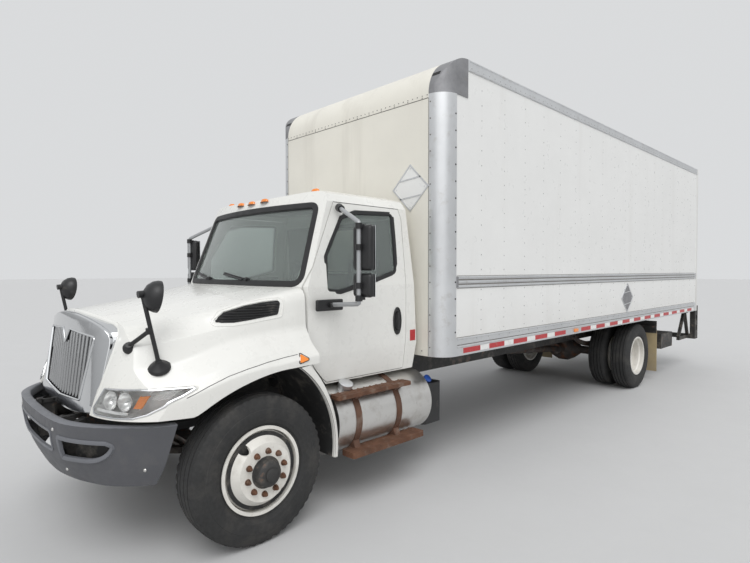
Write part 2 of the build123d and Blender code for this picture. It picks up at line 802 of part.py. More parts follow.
def front_prism(inset):
    """Zone behind the hood's raked, curved front."""
    shift = inset * (1 + front_rake ** 2) ** 0.5
    drop = 200
    shoulder_x, shoulder = front_shoulder
    corner_x, corner = front_corner
    side_x, side = front_side
    with BuildPart() as prism:
        with BuildSketch(Plane.XY.offset(front_z - drop)):
            lead = shift - front_rake * drop
            with BuildLine():
                ThreePointArc((-shoulder_x, row(shoulder + lead)), (0, row(front_nose + lead)),
                              (shoulder_x, row(shoulder + lead)))
                ThreePointArc((shoulder_x, row(shoulder + lead)), (corner_x - inset / 2, row(corner + lead)),
                              (side_x - inset, row(side + lead)))
                Polyline((side_x - inset, row(side + lead)), (side_x - inset, row(900)), (inset - side_x, row(900)),
                         (inset - side_x, row(side + lead)))
                ThreePointArc((inset - side_x, row(side + lead)), (inset / 2 - corner_x, row(corner + lead)),
                              (-shoulder_x, row(shoulder + lead)))
            make_face()
        extrude(amount=1100, dir=(0, front_rake, 1))
    return prism.part


def hood_form(inset):
    with BuildPart() as form:
        add(hood_block(inset))
        add(front_prism(inset), mode=Mode.INTERSECT)
    return form.part


def front_zone(points, grow, depth=1400):
    """Prism along Y through a front view outline, from ahead of the grille rearward."""
    with BuildPart() as zone:
        with BuildSketch(front_plane(-1300)):
            with BuildLine():
                Polyline(*points, close=True)
            make_face()
            if grow:
                offset(amount=grow)
        extrude(amount=depth, dir=(0, 1, 0))
    return zone.part


surround_points = ((-545, 1018), (545, 1018), (grille_half, 1500), (grille_half, 1700), (-grille_half, 1700),
                   (-grille_half, 1500))
opening_points = ((-455, 1066), (455, 1066), (480, 1398), (80, 1446), (0, 1352), (-80, 1446), (-480, 1398))
bar_points = ((-468, 1052), (468, 1052), (494, 1460), (-494, 1460))
lamp_points = ((770, 1012), (808, 1144), (1130, 1152), (1126, 1128), (1050, 1062), (930, 1014))
lamp_depth = 800
surround_depth = 150
surround_wall = 14
bar_pitch = 42
bar_width = 13
bar_span = (9, 52)
hood_outer = hood_form(0)
hood_inner = hood_form(hood_wall)
surround_back = front_prism(surround_depth)

with BuildPart() as surround_zone:
    add(front_zone(surround_points, 0))
    add(surround_back, mode=Mode.SUBTRACT)

with BuildPart() as surround_hole:
    add(front_zone(surround_points, seat_gap))
    add(front_prism(surround_depth + seat_gap), mode=Mode.SUBTRACT)

with BuildPart() as hood:
    add(hood_outer)
    for sign in (-1, 1):
        add(front_zone([(sign * x, z) for x, z in lamp_points], seat_gap, lamp_depth), mode=Mode.SUBTRACT)
    add(hood_inner, mode=Mode.SUBTRACT)
    add(surround_hole.part, mode=Mode.SUBTRACT)
    with BuildSketch(Plane.XY.offset(700)):
        add(nose_outline(cab_nose - 10))
    extrude(amount=1300, mode=Mode.SUBTRACT)
    with BuildSketch(side_plane(-1400)):
        with BuildLine():
            Polyline(*stations([(224, 1182), (391, 1187), (700, 1190), (700, 700), (-1300, 700), (-1300, 1000),
                                (-900, 985), (-470, 968), (-412, 999)]))
            ThreePointArc((row(-412), 999), (row(-130), 1128), (row(224), 1182))
        make_face()
    extrude(amount=2800, mode=Mode.SUBTRACT)
hood.part.label = "hood"
export_step(hood.part, "parts/hood.step")

with BuildPart() as surround:
    add(hood_outer)
    add(hood_form(surround_wall), mode=Mode.SUBTRACT)
    add(surround_zone.part, mode=Mode.INTERSECT)
    add(front_zone(opening_points, 0), mode=Mode.SUBTRACT)

with BuildPart() as bars:
    with BuildSketch(front_plane(-1300)):
        with GridLocations(bar_pitch, 1, 23, 1):
            with Locations((0, 1250)):
                Rectangle(bar_width, 600)
    extrude(amount=-1400)
    add(front_zone(bar_points, 0), mode=Mode.INTERSECT)
    add(front_prism(bar_span[0]), mode=Mode.INTERSECT)
    add(front_prism(bar_span[1]), mode=Mode.SUBTRACT)

with BuildPart() as grille:
    add(surround.part)
    add(bars.part)
grille.part.label = "grille"
export_step(grille.part, "parts/grille.step")

with BuildPart() as headlights:
    for sign in (-1, 1):
        add(front_zone([(sign * x, z) for x, z in lamp_points], 0, lamp_depth))
    add(hood_outer, mode=Mode.INTERSECT)
    add(hood_form(48), mode=Mode.SUBTRACT)
headlights.part.label = "headlights"
export_step(headlights.part, "parts/headlights.step")


def rod(first, last, radius):
    """Round bar between two points given as x, station, height."""
    start = Vector(first[0], row(first[1]), first[2])
    end = Vector(last[0], row(last[1]), last[2])
    with BuildPart() as bar:
        with BuildSketch(Plane(origin=start, z_dir=end - start)):
            Circle(radius)
        extrude(amount=(end - start).length)
    return bar.part


# Hood mirrors on their tripods
pod_main = (958, -618, 1262)
pod_brace = (830, -738, 1312)
stem_top = (950, -712, 1740)
stem_knee = (953, -672, 1500)
hood_mirror_centre = (962, -640, 1712)
hood_mirror_radius = 100

with BuildPart() as hood_mirror_left:
    add(rod(pod_main, stem_top, 13))
    add(rod(pod_brace, stem_knee, 12))
    for pod, tip in ((pod_main, (956, -640, 1330)), (pod_brace, (838, -732, 1350))):
        root = Vector(pod[0], row(pod[1]), pod[2])
        head = Vector(tip[0], row(tip[1]), tip[2])
        with BuildSketch(Plane(origin=root - (head - root) * 0.6, z_dir=head - root)):
            Circle(46)
        with BuildSketch(Plane(origin=head, z_dir=head - root)):
            Circle(15)
        loft(ruled=True)
    add(hood_outer, mode=Mode.SUBTRACT)
    with BuildSketch(Plane(origin=(hood_mirror_centre[0], row(hood_mirror_centre[1]), hood_mirror_centre[2]),
                           x_dir=(1, 0, 0), z_dir=(0, 0, 1))):
        with BuildLine():
            Line((0, 24), (hood_mirror_radius, 24))
            Line((hood_mirror_radius, 24), (hood_mirror_radius, 0))
            ThreePointArc((hood_mirror_radius, 0), (72, -48), (0, -70))
            Line((0, -70), (0, 24))
        make_face()
    revolve(axis=Axis((hood_mirror_centre[0], row(hood_mirror_centre[1]), hood_mirror_centre[2]), (0, 1, 0)))

# Hinge arms behind the grille, and inner fenders over the front wheels, carried by the hood
with BuildPart() as hood_arms:
    for sign in (-1, 1):
        with BuildSketch(side_plane(sign * hood_arm_x[0])):
            with BuildLine():
                Polyline(*stations([(-1022, 895), (-990, 1030), (-965, 1046), (-900, 1046), (-976, 895)]), close=True)
            make_face()
            with Locations((row(hood_hinge_station), hood_hinge_z)):
                Circle(24)
                Circle(hood_pin_radius + seat_gap, mode=Mode.SUBTRACT)
        extrude(amount=sign * (hood_arm_x[1] - hood_arm_x[0]))
    add(front_prism(hood_wall), mode=Mode.INTERSECT)
    add(grille.part, mode=Mode.SUBTRACT)

liner_half = 600
liner_wall = 6

with BuildPart() as hood_frame:
    for sign in (-1, 1):
        with BuildSketch(side_plane(sign * liner_half)):
            with BuildLine():
                ThreePointArc((row(-430), 1010), (row(-120), 1146), (row(224), 1196))
                Polyline(*stations([(224, 1196), (440, 1196), (440, 1196 + liner_wall), (224, 1196 + liner_wall)]))
                ThreePointArc((row(224), 1196 + liner_wall), (row(-122), 1146 + liner_wall),
                              (row(-434), 1010 + liner_wall))
                Line((row(-434), 1010 + liner_wall), (row(-430), 1010))
            make_face()
        extrude(amount=sign * 560)
    add(hood_inner, mode=Mode.INTERSECT)
    add(hood_arms.part)
hood_frame.part.label = "hood_frame"
export_step(hood_frame.part, "parts/hood_frame.step")

# Splash panels and fender extensions behind the front wheels, fixed to the chassis
splash_inner = 560
splash_outer = 1168
splash_front = ((300, 1174), (520, 930), (612, 452))
splash_back = ((306, 1180), (525, 934), (618, 452))
splash_lip = ((384, 1181), (560, 930), (640, 452))

with BuildPart() as splash_panels:
    for sign in (-1, 1):
        for start, depth, back in (
            (splash_inner, splash_outer - splash_inner, splash_back), (splash_outer, 14, splash_lip),
        ):
            with BuildSketch(side_plane(sign * start)):
                with BuildLine():
                    ThreePointArc(*stations(splash_front))
                    Line(*stations([splash_front[2], back[2]]))
                    ThreePointArc(*stations(back))
                    Line(*stations([back[0], splash_front[0]]))
                make_face()
            extrude(amount=sign * depth)
        with BuildSketch(Plane.XY.offset(900)):
            with Locations((sign * (rail_outer + 84), row(520))):
                Rectangle(168, 24)
        extrude(amount=60)
splash_panels.part.label = "splash_panels"
export_step(splash_panels.part, "parts/splash_panels.step")

# Driver's view: steering wheel, dash and seats
dash_top = 1690
wheel_tilt = 28
wheel_centre = (480, 850, 1600)
column_radius = 34
hub = Vector(wheel_centre[0], row(wheel_centre[1]), wheel_centre[2])
rim_plane = Plane(origin=hub, x_dir=(1, 0, 0), z_dir=(0, sin(radians(wheel_tilt)), cos(radians(wheel_tilt))))

with BuildPart() as steering_wheel:
    with BuildSketch(Plane(origin=hub + rim_plane.x_dir * 225, x_dir=rim_plane.x_dir, z_dir=rim_plane.y_dir)):
        Circle(14)
    revolve(axis=Axis(hub, rim_plane.z_dir))
    with BuildSketch(rim_plane.offset(-10)):
        Rectangle(440, 36)
        with Locations((0, -110)):
            Rectangle(36, 220)
        Circle(62)
    extrude(amount=18)
    with BuildSketch(rim_plane.offset(-240)):
        Circle(column_radius)
    extrude(amount=232)
steering_wheel.part.label = "steering_wheel"
export_step(steering_wheel.part, "parts/steering_wheel.step")

with BuildPart() as dashboard:
    with BuildSketch(side_plane(-880)):
        with BuildLine():
            Polyline(*stations([(firewall + cab_wall, 1290), (firewall + cab_wall, dash_top - 40), (640, dash_top),
                                (760, dash_top - 60), (790, dash_top - 200), (700, dash_top - 400)]), close=True)
        make_face()
    extrude(amount=1760)
    with BuildSketch(rim_plane.offset(-240)):
        Circle(column_radius + seat_gap)
    extrude(amount=232, mode=Mode.SUBTRACT)
dashboard.part.label = "dashboard"
export_step(dashboard.part, "parts/dashboard.step")

seat_x = (480, -480)
seat_floor = cab_floor + cab_wall

with BuildPart() as seat_bases:
    for x in seat_x:
        with BuildSketch(side_plane(x - 200)):
            with BuildLine():
                Polyline(*stations([(1090, seat_floor), (1480, seat_floor), (1440, 1330), (1120, 1330)]), close=True)
            make_face()
        extrude(amount=400)
seat_bases.part.label = "seat_bases"
export_step(seat_bases.part, "parts/seat_bases.step")

cushion_top = 1470

with BuildPart() as seat_cushions:
    for x in seat_x:
        with BuildSketch(Plane.XY.offset(1330 + seat_gap)):
            with Locations((x, row(1260))):
                RectangleRounded(500, 450, 60)
        extrude(amount=cushion_top - 1330)
        with BuildSketch(side_plane(x - 240)):
            with BuildLine():
                Polyline(*stations([(1440, 1370), (1545, 1345), (1618, 2010), (1526, 2022)]), close=True)
            make_face()
        extrude(amount=480)
seat_cushions.part.label = "seat_cushions"
export_step(seat_cushions.part, "parts/seat_cushions.step")

# Fuel tank with its straps and the driver's steps
tank_x = 885
tank_z = 670
tank_radius = 280
tank_span = (675, 1776)
strap_stations = (880, 1344)
strap_width = 60
strap_skin = 6

with BuildPart() as fuel_tank:
    with BuildSketch(front_plane(tank_span[0])):
        with Locations((tank_x, tank_z)):
            Circle(tank_radius)
    extrude(amount=-(tank_span[1] - tank_span[0]))
    with BuildSketch(Plane.XY.offset(tank_z + tank_radius - 20)):
        with Locations((tank_x - 20, row(1130))):
            Circle(52)
    extrude(amount=38)
fuel_tank.part.label = "fuel_tank"
export_step(fuel_tank.part, "parts/fuel_tank.step")

with BuildPart() as tank_straps:
    for station in strap_stations:
        with BuildSketch(front_plane(station - strap_width / 2)):
            with Locations((tank_x, tank_z)):
                Circle(tank_radius + seat_gap + strap_skin)
            for arm in (
                ((rail_outer, 780), (rail_outer, 955), (560, 955), (700, 890), (640, 560), (600, 520), (540, 560)),
                ((1050, 515), (1100, 560), (1150, 456), (1082, 456)),
                ((1060, 830), (1110, 830), (1180, 880), (1090, 880)),
            ):
                with BuildLine():
                    Polyline(*arm, close=True)
                make_face()
            with Locations((tank_x, tank_z)):
                Circle(tank_radius + seat_gap, mode=Mode.SUBTRACT)
        extrude(amount=-strap_width)
tank_straps.part.label = "tank_straps"
export_step(tank_straps.part, "parts/tank_straps.step")

# columns: inner x, outer x, first station, last station, low z, high z
step_treads = ((1084, 1200, 640, 1465, 880, 910), (1082, 1230, 761, 1596, 410, 456))

with BuildPart() as cab_steps:
    for inner, outer, first, last, low, high in step_treads:
        with BuildSketch(Plane.XY.offset(low)):
            with Locations(((inner + outer) / 2, row((first + last) / 2))):
                RectangleRounded(outer - inner, last - first, 20)
        extrude(amount=high - low)
        with BuildSketch(Plane.XY.offset(low)):
            with Locations(((inner + outer) / 2, row((first + last) / 2))):
                RectangleRounded(outer - inner - 16, last - first - 16, 14)
        extrude(amount=high - low - 8, mode=Mode.SUBTRACT)
cab_steps.part.label = "cab_steps"
export_step(cab_steps.part, "parts/cab_steps.step")

# Right side: battery box with steps, and the exhaust
box_span = (760, 1240)

with BuildPart() as battery_box:
    with BuildSketch(front_plane(box_span[0])):
        with BuildLine():
            Polyline((-rail_outer, 760), (-rail_outer, 960), (-1010, 960), (-1010, 860), (-1190, 860), (-1190, 500),
                     (-1230, 500), (-1230, 440), (-640, 440), (-640, 760), close=True)
        make_face()
    extrude(amount=-(box_span[1] - box_span[0]))
battery_box.part.label = "battery_box"
export_step(battery_box.part, "parts/battery_box.step")

exhaust_x = -760
exhaust_z = 610

with BuildPart() as exhaust:
    with BuildSketch(front_plane(1300)):
        with Locations((exhaust_x, exhaust_z)):
            Circle(175)
    extrude(amount=-620)
    with BuildSketch(front_plane(1280)):
        with Locations((exhaust_x, exhaust_z)):
            Circle(60)
    extrude(amount=-1080)
    for station in (1420, 1760):
        with BuildSketch(front_plane(station)):
            with BuildLine():
                Polyline((-rail_outer, 800), (-rail_outer, 960), (-520, 960), (exhaust_x, exhaust_z + 120),
                         (exhaust_x + 120, exhaust_z), close=True)
            make_face()
        extrude(amount=-50)
exhaust.part.label = "exhaust"
export_step(exhaust.part, "parts/exhaust.step")

# Fluid tank behind the fuel tank
with BuildPart() as def_tank:
    with BuildSketch(Plane.XY.offset(420)):
        with Locations((875, row(1932))):
            RectangleRounded(350, 265, 40)
    extrude(amount=380)
    with BuildSketch(Plane.XY.offset(790)):
        with Locations((960, row(1860))):
            Circle(38)
    extrude(amount=42)
    with BuildSketch(Plane.XY.offset(760)):
        with Locations(((rail_outer + 720) / 2, row(1932))):
            Rectangle(720 - rail_outer, 180)
    extrude(amount=30)
def_tank.part.label = "def_tank"
export_step(def_tank.part, "parts/def_tank.step")

# Van body: floor, walls, rails, nose, posts, caps and roof
body_front = box_front + post_radius
door_frame = 80
frame_front = box_rear - door_frame
wall_inset = 7.5
wall_thickness = 38
bottom_rail_width = 25.5
top_rail_width = 65.5
wall_x = (box_half - wall_inset - wall_thickness, box_half - wall_inset)
floor_half = box_half - bottom_rail_width - seat_gap
cross_pitch = 400
cross_width = 60
front_wall = 38
nose_skin = 20
post_skin = 28
cap_skin = 28
post_x = box_half - post_radius

with BuildPart() as cargo_floor:
    for sign in (-1, 1):
        with BuildSketch(Plane.XY.offset(rail_top)):
            with Locations((sign * (rail_outer - rail_flange / 2), row((box_front + 44 + box_rear) / 2))):
                Rectangle(rail_flange, box_rear - box_front - 44)
        extrude(amount=sill_height)
    count = int((frame_front - body_front) // cross_pitch)
    with BuildSketch(Plane.XY.offset(floor_bottom)):
        with Locations((0, row(body_front + count * cross_pitch / 2 + cross_width))):
            with GridLocations(1, cross_pitch, 1, count + 1):
                Rectangle(2 * floor_half, cross_width)
        with Locations((0, row(box_front + front_wall + seat_gap + cross_width / 2))):
            Rectangle(2 * post_x - 2 * seat_gap, cross_width)
    extrude(amount=cross_height)
    with BuildSketch(Plane.XY.offset(floor_bottom + cross_height)):
        with Locations((0, row((body_front + frame_front) / 2))):
            Rectangle(2 * floor_half, frame_front - body_front - 2 * seat_gap)
        with Locations((0, row(box_front + front_wall + seat_gap + 100))):
            Rectangle(2 * post_x - 2 * seat_gap, 200)
    extrude(amount=floor_thickness)
cargo_floor.part.label = "cargo_floor"
export_step(cargo_floor.part, "parts/cargo_floor.step")

with BuildPart() as cargo_walls:
    with BuildSketch(Plane.XY.offset(bottom_rail_top + seat_gap)):
        for sign in (-1, 1):
            with Locations((sign * (wall_x[0] + wall_x[1]) / 2, row((body_front + frame_front) / 2))):
                Rectangle(wall_x[1] - wall_x[0], frame_front - body_front - 2 * seat_gap)
    extrude(amount=wall_top - bottom_rail_top - 2 * seat_gap)
    with BuildSketch(Plane.XY.offset(seam_z - seat_gap)):
        with Locations((0, row(box_front + nose_radius / 2))):
            Rectangle(box_width, nose_radius + 2 * seat_gap)
    extrude(amount=nose_radius, mode=Mode.SUBTRACT)
cargo_walls.part.label = "cargo_walls"
export_step(cargo_walls.part, "parts/cargo_walls.step")

# columns: inner x, low z, high z
rail_rows = ((floor_half + seat_gap, floor_bottom, bottom_rail_top), (wall_x[1] + seat_gap, 1710, 1816),
             (box_half - top_rail_width, wall_top, roof_edge))

with BuildPart() as side_rails:
    for inner, low, high in rail_rows:
        with BuildSketch(Plane.XY.offset(low)):
            for sign in (-1, 1):
                first = body_front + seat_gap
                if low == wall_top:
                    first = box_front + nose_radius + seat_gap
                with Locations((sign * (inner + box_half) / 2, row((first + frame_front - seat_gap) / 2))):
                    Rectangle(box_half - inner, frame_front - seat_gap - first)
        extrude(amount=high - low)
side_rails.part.label = "side_rails"
export_step(side_rails.part, "parts/side_rails.step")

with BuildPart() as cargo_front:
    with BuildSketch(side_plane(-post_x + seat_gap)):
        with BuildLine():
            centre_s = box_front + nose_radius
            inner = nose_radius - nose_skin
            half = 0.5 ** 0.5
            Polyline(*stations([(box_front + front_wall, seam_z), (box_front + front_wall, floor_bottom),
                                (box_front, floor_bottom), (box_front, seam_z)]))
            ThreePointArc(*stations([(box_front, seam_z), (centre_s - nose_radius * half,
                                                           seam_z + nose_radius * half),
                                     (centre_s, roof_edge)]))
            Polyline(*stations([(centre_s, roof_edge), (centre_s, roof_edge - nose_skin)]))
            ThreePointArc(*stations([(centre_s, roof_edge - nose_skin), (centre_s - inner * half,
                                                                        seam_z + inner * half),
                                     (centre_s - inner, seam_z)]))
            Line(*stations([(centre_s - inner, seam_z), (box_front + front_wall, seam_z)]))
        make_face()
    extrude(amount=2 * post_x - 2 * seat_gap)
cargo_front.part.label = "cargo_front"
export_step(cargo_front.part, "parts/cargo_front.step")

with BuildPart() as corner_posts:
    for sign in (-1, 1):
        with BuildSketch(Plane.XY.offset(floor_bottom)):
            with Locations((sign * post_x, row(body_front))):
                Circle(post_radius)
                Circle(post_radius - post_skin, mode=Mode.SUBTRACT)
            with Locations((sign * (post_x + post_radius / 2), row(body_front - post_radius / 2))):
                Rectangle(post_radius, post_radius, mode=Mode.INTERSECT)
        extrude(amount=seam_z - floor_bottom - seat_gap)
corner_posts.part.label = "corner_posts"
export_step(corner_posts.part, "parts/corner_posts.step")


def cap_block(inset):
    """Solid roof corner on the left, its outer faces set in by inset."""
    with BuildPart() as block:
        with BuildSketch(Plane.XY.offset(seam_z)):
            with Locations((post_x, row(body_front))):
                Circle(post_radius - inset)
            with Locations((post_x + (post_radius - inset) / 2, row(body_front + nose_radius / 2))):
                Rectangle(post_radius - inset, nose_radius)
            with Locations((post_x + post_radius / 2, row(box_front + nose_radius / 2))):
                Rectangle(post_radius, nose_radius, mode=Mode.INTERSECT)
        extrude(amount=nose_radius)
        with BuildSketch(side_plane(0)):
            with Locations((row(box_front + nose_radius), seam_z)):
                Circle(nose_radius - inset)
        extrude(amount=1400, mode=Mode.INTERSECT)
    return block.part


cap_outer = cap_block(0)
cap_inner = cap_block(cap_skin)

with BuildPart() as roof_caps:
    add(cap_outer)
    add(cap_inner, mode=Mode.SUBTRACT)
    mirror(roof_caps.part, about=Plane.YZ)
roof_caps.part.label = "roof_caps"
export_step(roof_caps.part, "parts/roof_caps.step")

roof_half = box_half - top_rail_width - seat_gap
roof_skin = 25
bow_pitch = 610

with BuildPart() as cargo_roof:
    first = box_front + nose_radius + seat_gap
    with BuildSketch(Plane.XY.offset(roof_edge - roof_skin)):
        with Locations((0, row((first + frame_front - seat_gap) / 2))):
            Rectangle(2 * roof_half, frame_front - seat_gap - first)
    extrude(amount=roof_skin)
    with BuildSketch(Plane.XY.offset(roof_edge - roof_skin - 38)):
        with Locations((0, row((first + frame_front) / 2))):
            with GridLocations(1, bow_pitch, 1, int((frame_front - first) // bow_pitch)):
                Rectangle(2 * roof_half, 44)
    extrude(amount=38)
cargo_roof.part.label = "cargo_roof"
export_step(cargo_roof.part, "parts/cargo_roof.step")

frame_post = 105
header = 162
sill_top = 1232
header_z = roof_edge - header

with BuildPart() as rear_frame:
    with BuildSketch(front_plane(frame_front)):
        with Locations((0, (floor_bottom + roof_edge) / 2)):
            Rectangle(2 * box_half, roof_edge - floor_bottom)
        with Locations((0, (sill_top + header_z) / 2)):
            Rectangle(2 * (box_half - frame_post), header_z - sill_top, mode=Mode.SUBTRACT)
    extrude(amount=-door_frame)
rear_frame.part.label = "rear_frame"
export_step(rear_frame.part, "parts/rear_frame.step")

slat = 305

with BuildPart() as rear_door:
    door_half = box_half - frame_post - seat_gap
    with BuildSketch(front_plane(frame_front + 20)):
        with Locations((0, (sill_top + header_z) / 2)):
            Rectangle(2 * door_half, header_z - sill_top - 2 * seat_gap)
    extrude(amount=-28)
    with BuildSketch(front_plane(frame_front + 38)):
        with Locations((0, (sill_top + header_z) / 2)):
            with GridLocations(1, slat, 1, 7):
                Rectangle(2 * door_half, 12)
    extrude(amount=-10, mode=Mode.SUBTRACT)
rear_door.part.label = "rear_door"
export_step(rear_door.part, "parts/rear_door.step")

# Mud flaps behind the rear wheels
flap_station = wheelbase + 815
flap_top = 861

with BuildPart() as mud_flaps:
    for sign in (-1, 1):
        with BuildSketch(front_plane(flap_station)):
            with Locations((sign * 940, (153 + flap_top) / 2)):
                Rectangle(600, flap_top - 153)
        extrude(amount=-10)
mud_flaps.part.label = "mud_flaps"
export_step(mud_flaps.part, "parts/mud_flaps.step")

# Brackets on the rails: bumper and hood hinges, cab mounts, mud flap hangers
cab_mount_stations = (620, 1560)

with BuildPart() as chassis_brackets:
    for sign in (-1, 1):
        with BuildSketch(side_plane(sign * bumper_bracket_x[0])):
            with BuildLine():
                Polyline(*stations([(-1040, 840), (-1040, 800), (-988, 620), (-940, 620), (rail_front, rail_bottom),
                                    (rail_front, 900)]), close=True)
            make_face()
        extrude(amount=sign * (bumper_bracket_x[1] - bumper_bracket_x[0]))
        with BuildSketch(side_plane(sign * hinge_plate_x[0])):
            with BuildLine():
                Polyline(*stations([(-1018, 880), (-1018, 915), (-985, 915), (-900, 870), (-900, 760),
                                    (-960, 760)]), close=True)
            make_face()
        extrude(amount=sign * (hinge_plate_x[1] - hinge_plate_x[0]))
        with BuildSketch(side_plane(sign * (hood_arm_x[0] - 8))):
            with Locations((row(hood_hinge_station), hood_hinge_z)):
                Circle(hood_pin_radius)
        extrude(amount=sign * (hinge_plate_x[1] - hood_arm_x[0] + 8))
    add(front_bumper.part, mode=Mode.SUBTRACT)
    for sign in (-1, 1):
        for station in cab_mount_stations:
            with BuildSketch(Plane.XY.offset(rail_top)):
                with Locations((sign * (rail_outer - rail_flange / 2), row(station))):
                    Rectangle(rail_flange, 130)
            extrude(amount=10)
            with BuildSketch(Plane.XY.offset(rail_top)):
                with Locations((sign * (rail_outer - rail_flange / 2), row(station))):
                    Circle(36)
            extrude(amount=cab_floor - rail_top)
    for sign in (-1, 1):
        with BuildSketch(front_plane(flap_station)):
            with Locations((sign * 940, (flap_top - 60 + 1010) / 2)):
                Rectangle(600, 1010 - flap_top + 60)
        extrude(amount=6)
        with BuildSketch(front_plane(flap_station - 40)):
            with Locations((sign * (rear_spring_x + 1240) / 2, 900)):
                Rectangle(1240 - rear_spring_x, 44)
        extrude(amount=-40)
chassis_brackets.part.label = "chassis_brackets"
export_step(chassis_brackets.part, "parts/chassis_brackets.step")

# Rear bumper posts, under-ride beam and braces
post_span = (box_half - 95.5, box_half - 5.5)
beam_z = (520, 610)
brace_x = box_half - 145.5

with BuildPart() as rear_bumper:
    for sign in (-1, 1):
        for first, last in (
            ((9526, floor_bottom + 20), (9166, 590)), ((9526, floor_bottom + 20), (9740, 590)),
            ((9140, 560), (9740, 560)),
        ):
            along = Vector(0, last[0] - first[0], last[1] - first[1])
            with BuildSketch(Plane(origin=(sign * brace_x, row(first[0]), first[1]), x_dir=(1, 0, 0), z_dir=along)):
                Rectangle(50, 50)
            extrude(amount=along.length)
    with BuildSketch(Plane.XY.offset(floor_bottom)):
        with Locations((0, row(9526))):
            Rectangle(box_width, 400)
    extrude(amount=200, mode=Mode.SUBTRACT)
    for sign in (-1, 1):
        with BuildSketch(Plane.XY.offset(floor_bottom)):
            with Locations((sign * brace_x, row(9526))):
                Rectangle(90, 180)
        extrude(amount=-40)
        with BuildSketch(side_plane(sign * post_span[0])):
            with BuildLine():
                Polyline(*stations([(9720, 520), (9902, 520), (9902, 1170), (box_rear + seat_gap, 1170),
                                    (box_rear + seat_gap, floor_bottom - seat_gap), (9720, floor_bottom - seat_gap)]),
                         close=True)
            make_face()
            with Locations((row(9822), 930), (row(9822), 730)):
                RectangleRounded(70, 120, 30, mode=Mode.SUBTRACT)
        extrude(amount=sign * (post_span[1] - post_span[0]))
    with BuildSketch(Plane.XY.offset(beam_z[0])):
        with Locations((0, row(9760))):
            Rectangle(2 * post_span[0], 70)
    extrude(amount=beam_z[1] - beam_z[0])
rear_bumper.part.label = "rear_bumper"
export_step(rear_bumper.part, "parts/rear_bumper.step")

# Tuck-under lift gate: mounts, arms and the folded platform
lift_station = 8550
lift_z = 700
lift_tube = 40
lift_arm_x = (520, 560)
lift_tip = (9150, 690)
tip_pin = 20

with BuildPart() as liftgate_frame:
    for sign in (-1, 1):
        with BuildSketch(side_plane(sign * rail_outer)):
            with BuildLine():
                Polyline(*stations([(8400, 960), (8760, 960), (8640, 600), (8460, 600)]), close=True)
            make_face()
        extrude(amount=sign * 16)
    with BuildSketch(side_plane(-700)):
        with Locations((row(lift_station), lift_z)):
            Circle(lift_tube)
    extrude(amount=1400)
    with BuildSketch(side_plane(900)):
        with BuildLine():
            Polyline(*stations([(8044, 488), (8655, 488), (8655, 745), (8044, 745)]), close=True)
        make_face()
    extrude(amount=290)
    with BuildSketch(Plane.XY.offset(660)):
        with Locations(((rail_outer + 900) / 2, row(8250))):
            Rectangle(900 - rail_outer, 80)
    extrude(amount=60)
    with BuildSketch(Plane.XY.offset(660)):
        with Locations((rail_outer + 8, row(8250))):
            Rectangle(16, 160)
    extrude(amount=300)
liftgate_frame.part.label = "liftgate_frame"
export_step(liftgate_frame.part, "parts/liftgate_frame.step")

with BuildPart() as liftgate_arms:
    for sign in (-1, 1):
        with BuildSketch(side_plane(sign * lift_arm_x[0])):
            with BuildLine():
                Polyline(*stations([(lift_station, lift_z - 62), (lift_station, lift_z + 62),
                                    (lift_tip[0], lift_tip[1] + 36), (lift_tip[0], lift_tip[1] - 36)]), close=True)
            make_face()
            with Locations((row(lift_station), lift_z)):
                Circle(66)
            with Locations((row(lift_tip[0]), lift_tip[1])):
                Circle(38)
            with Locations((row(lift_station), lift_z)):
                Circle(lift_tube + seat_gap, mode=Mode.SUBTRACT)
            with Locations((row(lift_tip[0]), lift_tip[1])):
                Circle(tip_pin + seat_gap, mode=Mode.SUBTRACT)
        extrude(amount=sign * (lift_arm_x[1] - lift_arm_x[0]))
    with BuildSketch(side_plane(-lift_arm_x[0])):
        with Locations((row(8860), lift_z)):
            Rectangle(60, 60)
    extrude(amount=2 * lift_arm_x[0])
liftgate_arms.part.label = "liftgate_arms"
export_step(liftgate_arms.part, "parts/liftgate_arms.step")

platform_half = 880
platform_span = (8950, 9450)
platform_z = (545, 640)

with BuildPart() as liftgate_platform:
    with BuildSketch(Plane.XY.offset(platform_z[0])):
        with Locations((0, row((platform_span[0] + platform_span[1]) / 2))):
            Rectangle(2 * platform_half, platform_span[1] - platform_span[0])
    extrude(amount=platform_z[1] - platform_z[0])
    with BuildSketch(front_plane(platform_span[0] - 1)):
        with Locations((0, (platform_z[0] + platform_z[1]) / 2)):
            Rectangle(2 * platform_half + 10, 12)
    extrude(amount=-440, mode=Mode.SUBTRACT)
    for sign in (-1, 1):
        for inner in (lift_arm_x[0] - 26, lift_arm_x[1] + 6):
            with BuildSketch(side_plane(sign * inner)):
                with BuildLine():
                    Polyline(*stations([(lift_tip[0] - 60, platform_z[1]), (lift_tip[0] - 26, lift_tip[1] + 30),
                                        (lift_tip[0] + 26, lift_tip[1] + 30), (lift_tip[0] + 60, platform_z[1])]),
                             close=True)
                make_face()
            extrude(amount=sign * 20)
        with BuildSketch(side_plane(sign * (lift_arm_x[0] - 26))):
            with Locations((row(lift_tip[0]), lift_tip[1])):
                Circle(tip_pin)
        extrude(amount=sign * (lift_arm_x[1] - lift_arm_x[0] + 52))
liftgate_platform.part.label = "liftgate_platform"
export_step(liftgate_platform.part, "parts/liftgate_platform.step")

# Door mirrors on their tube frames
tube_x = 1400
tube_station = 660
# columns: low z, high z
mirror_heads = ((1861, 2212), (1665, 1857))

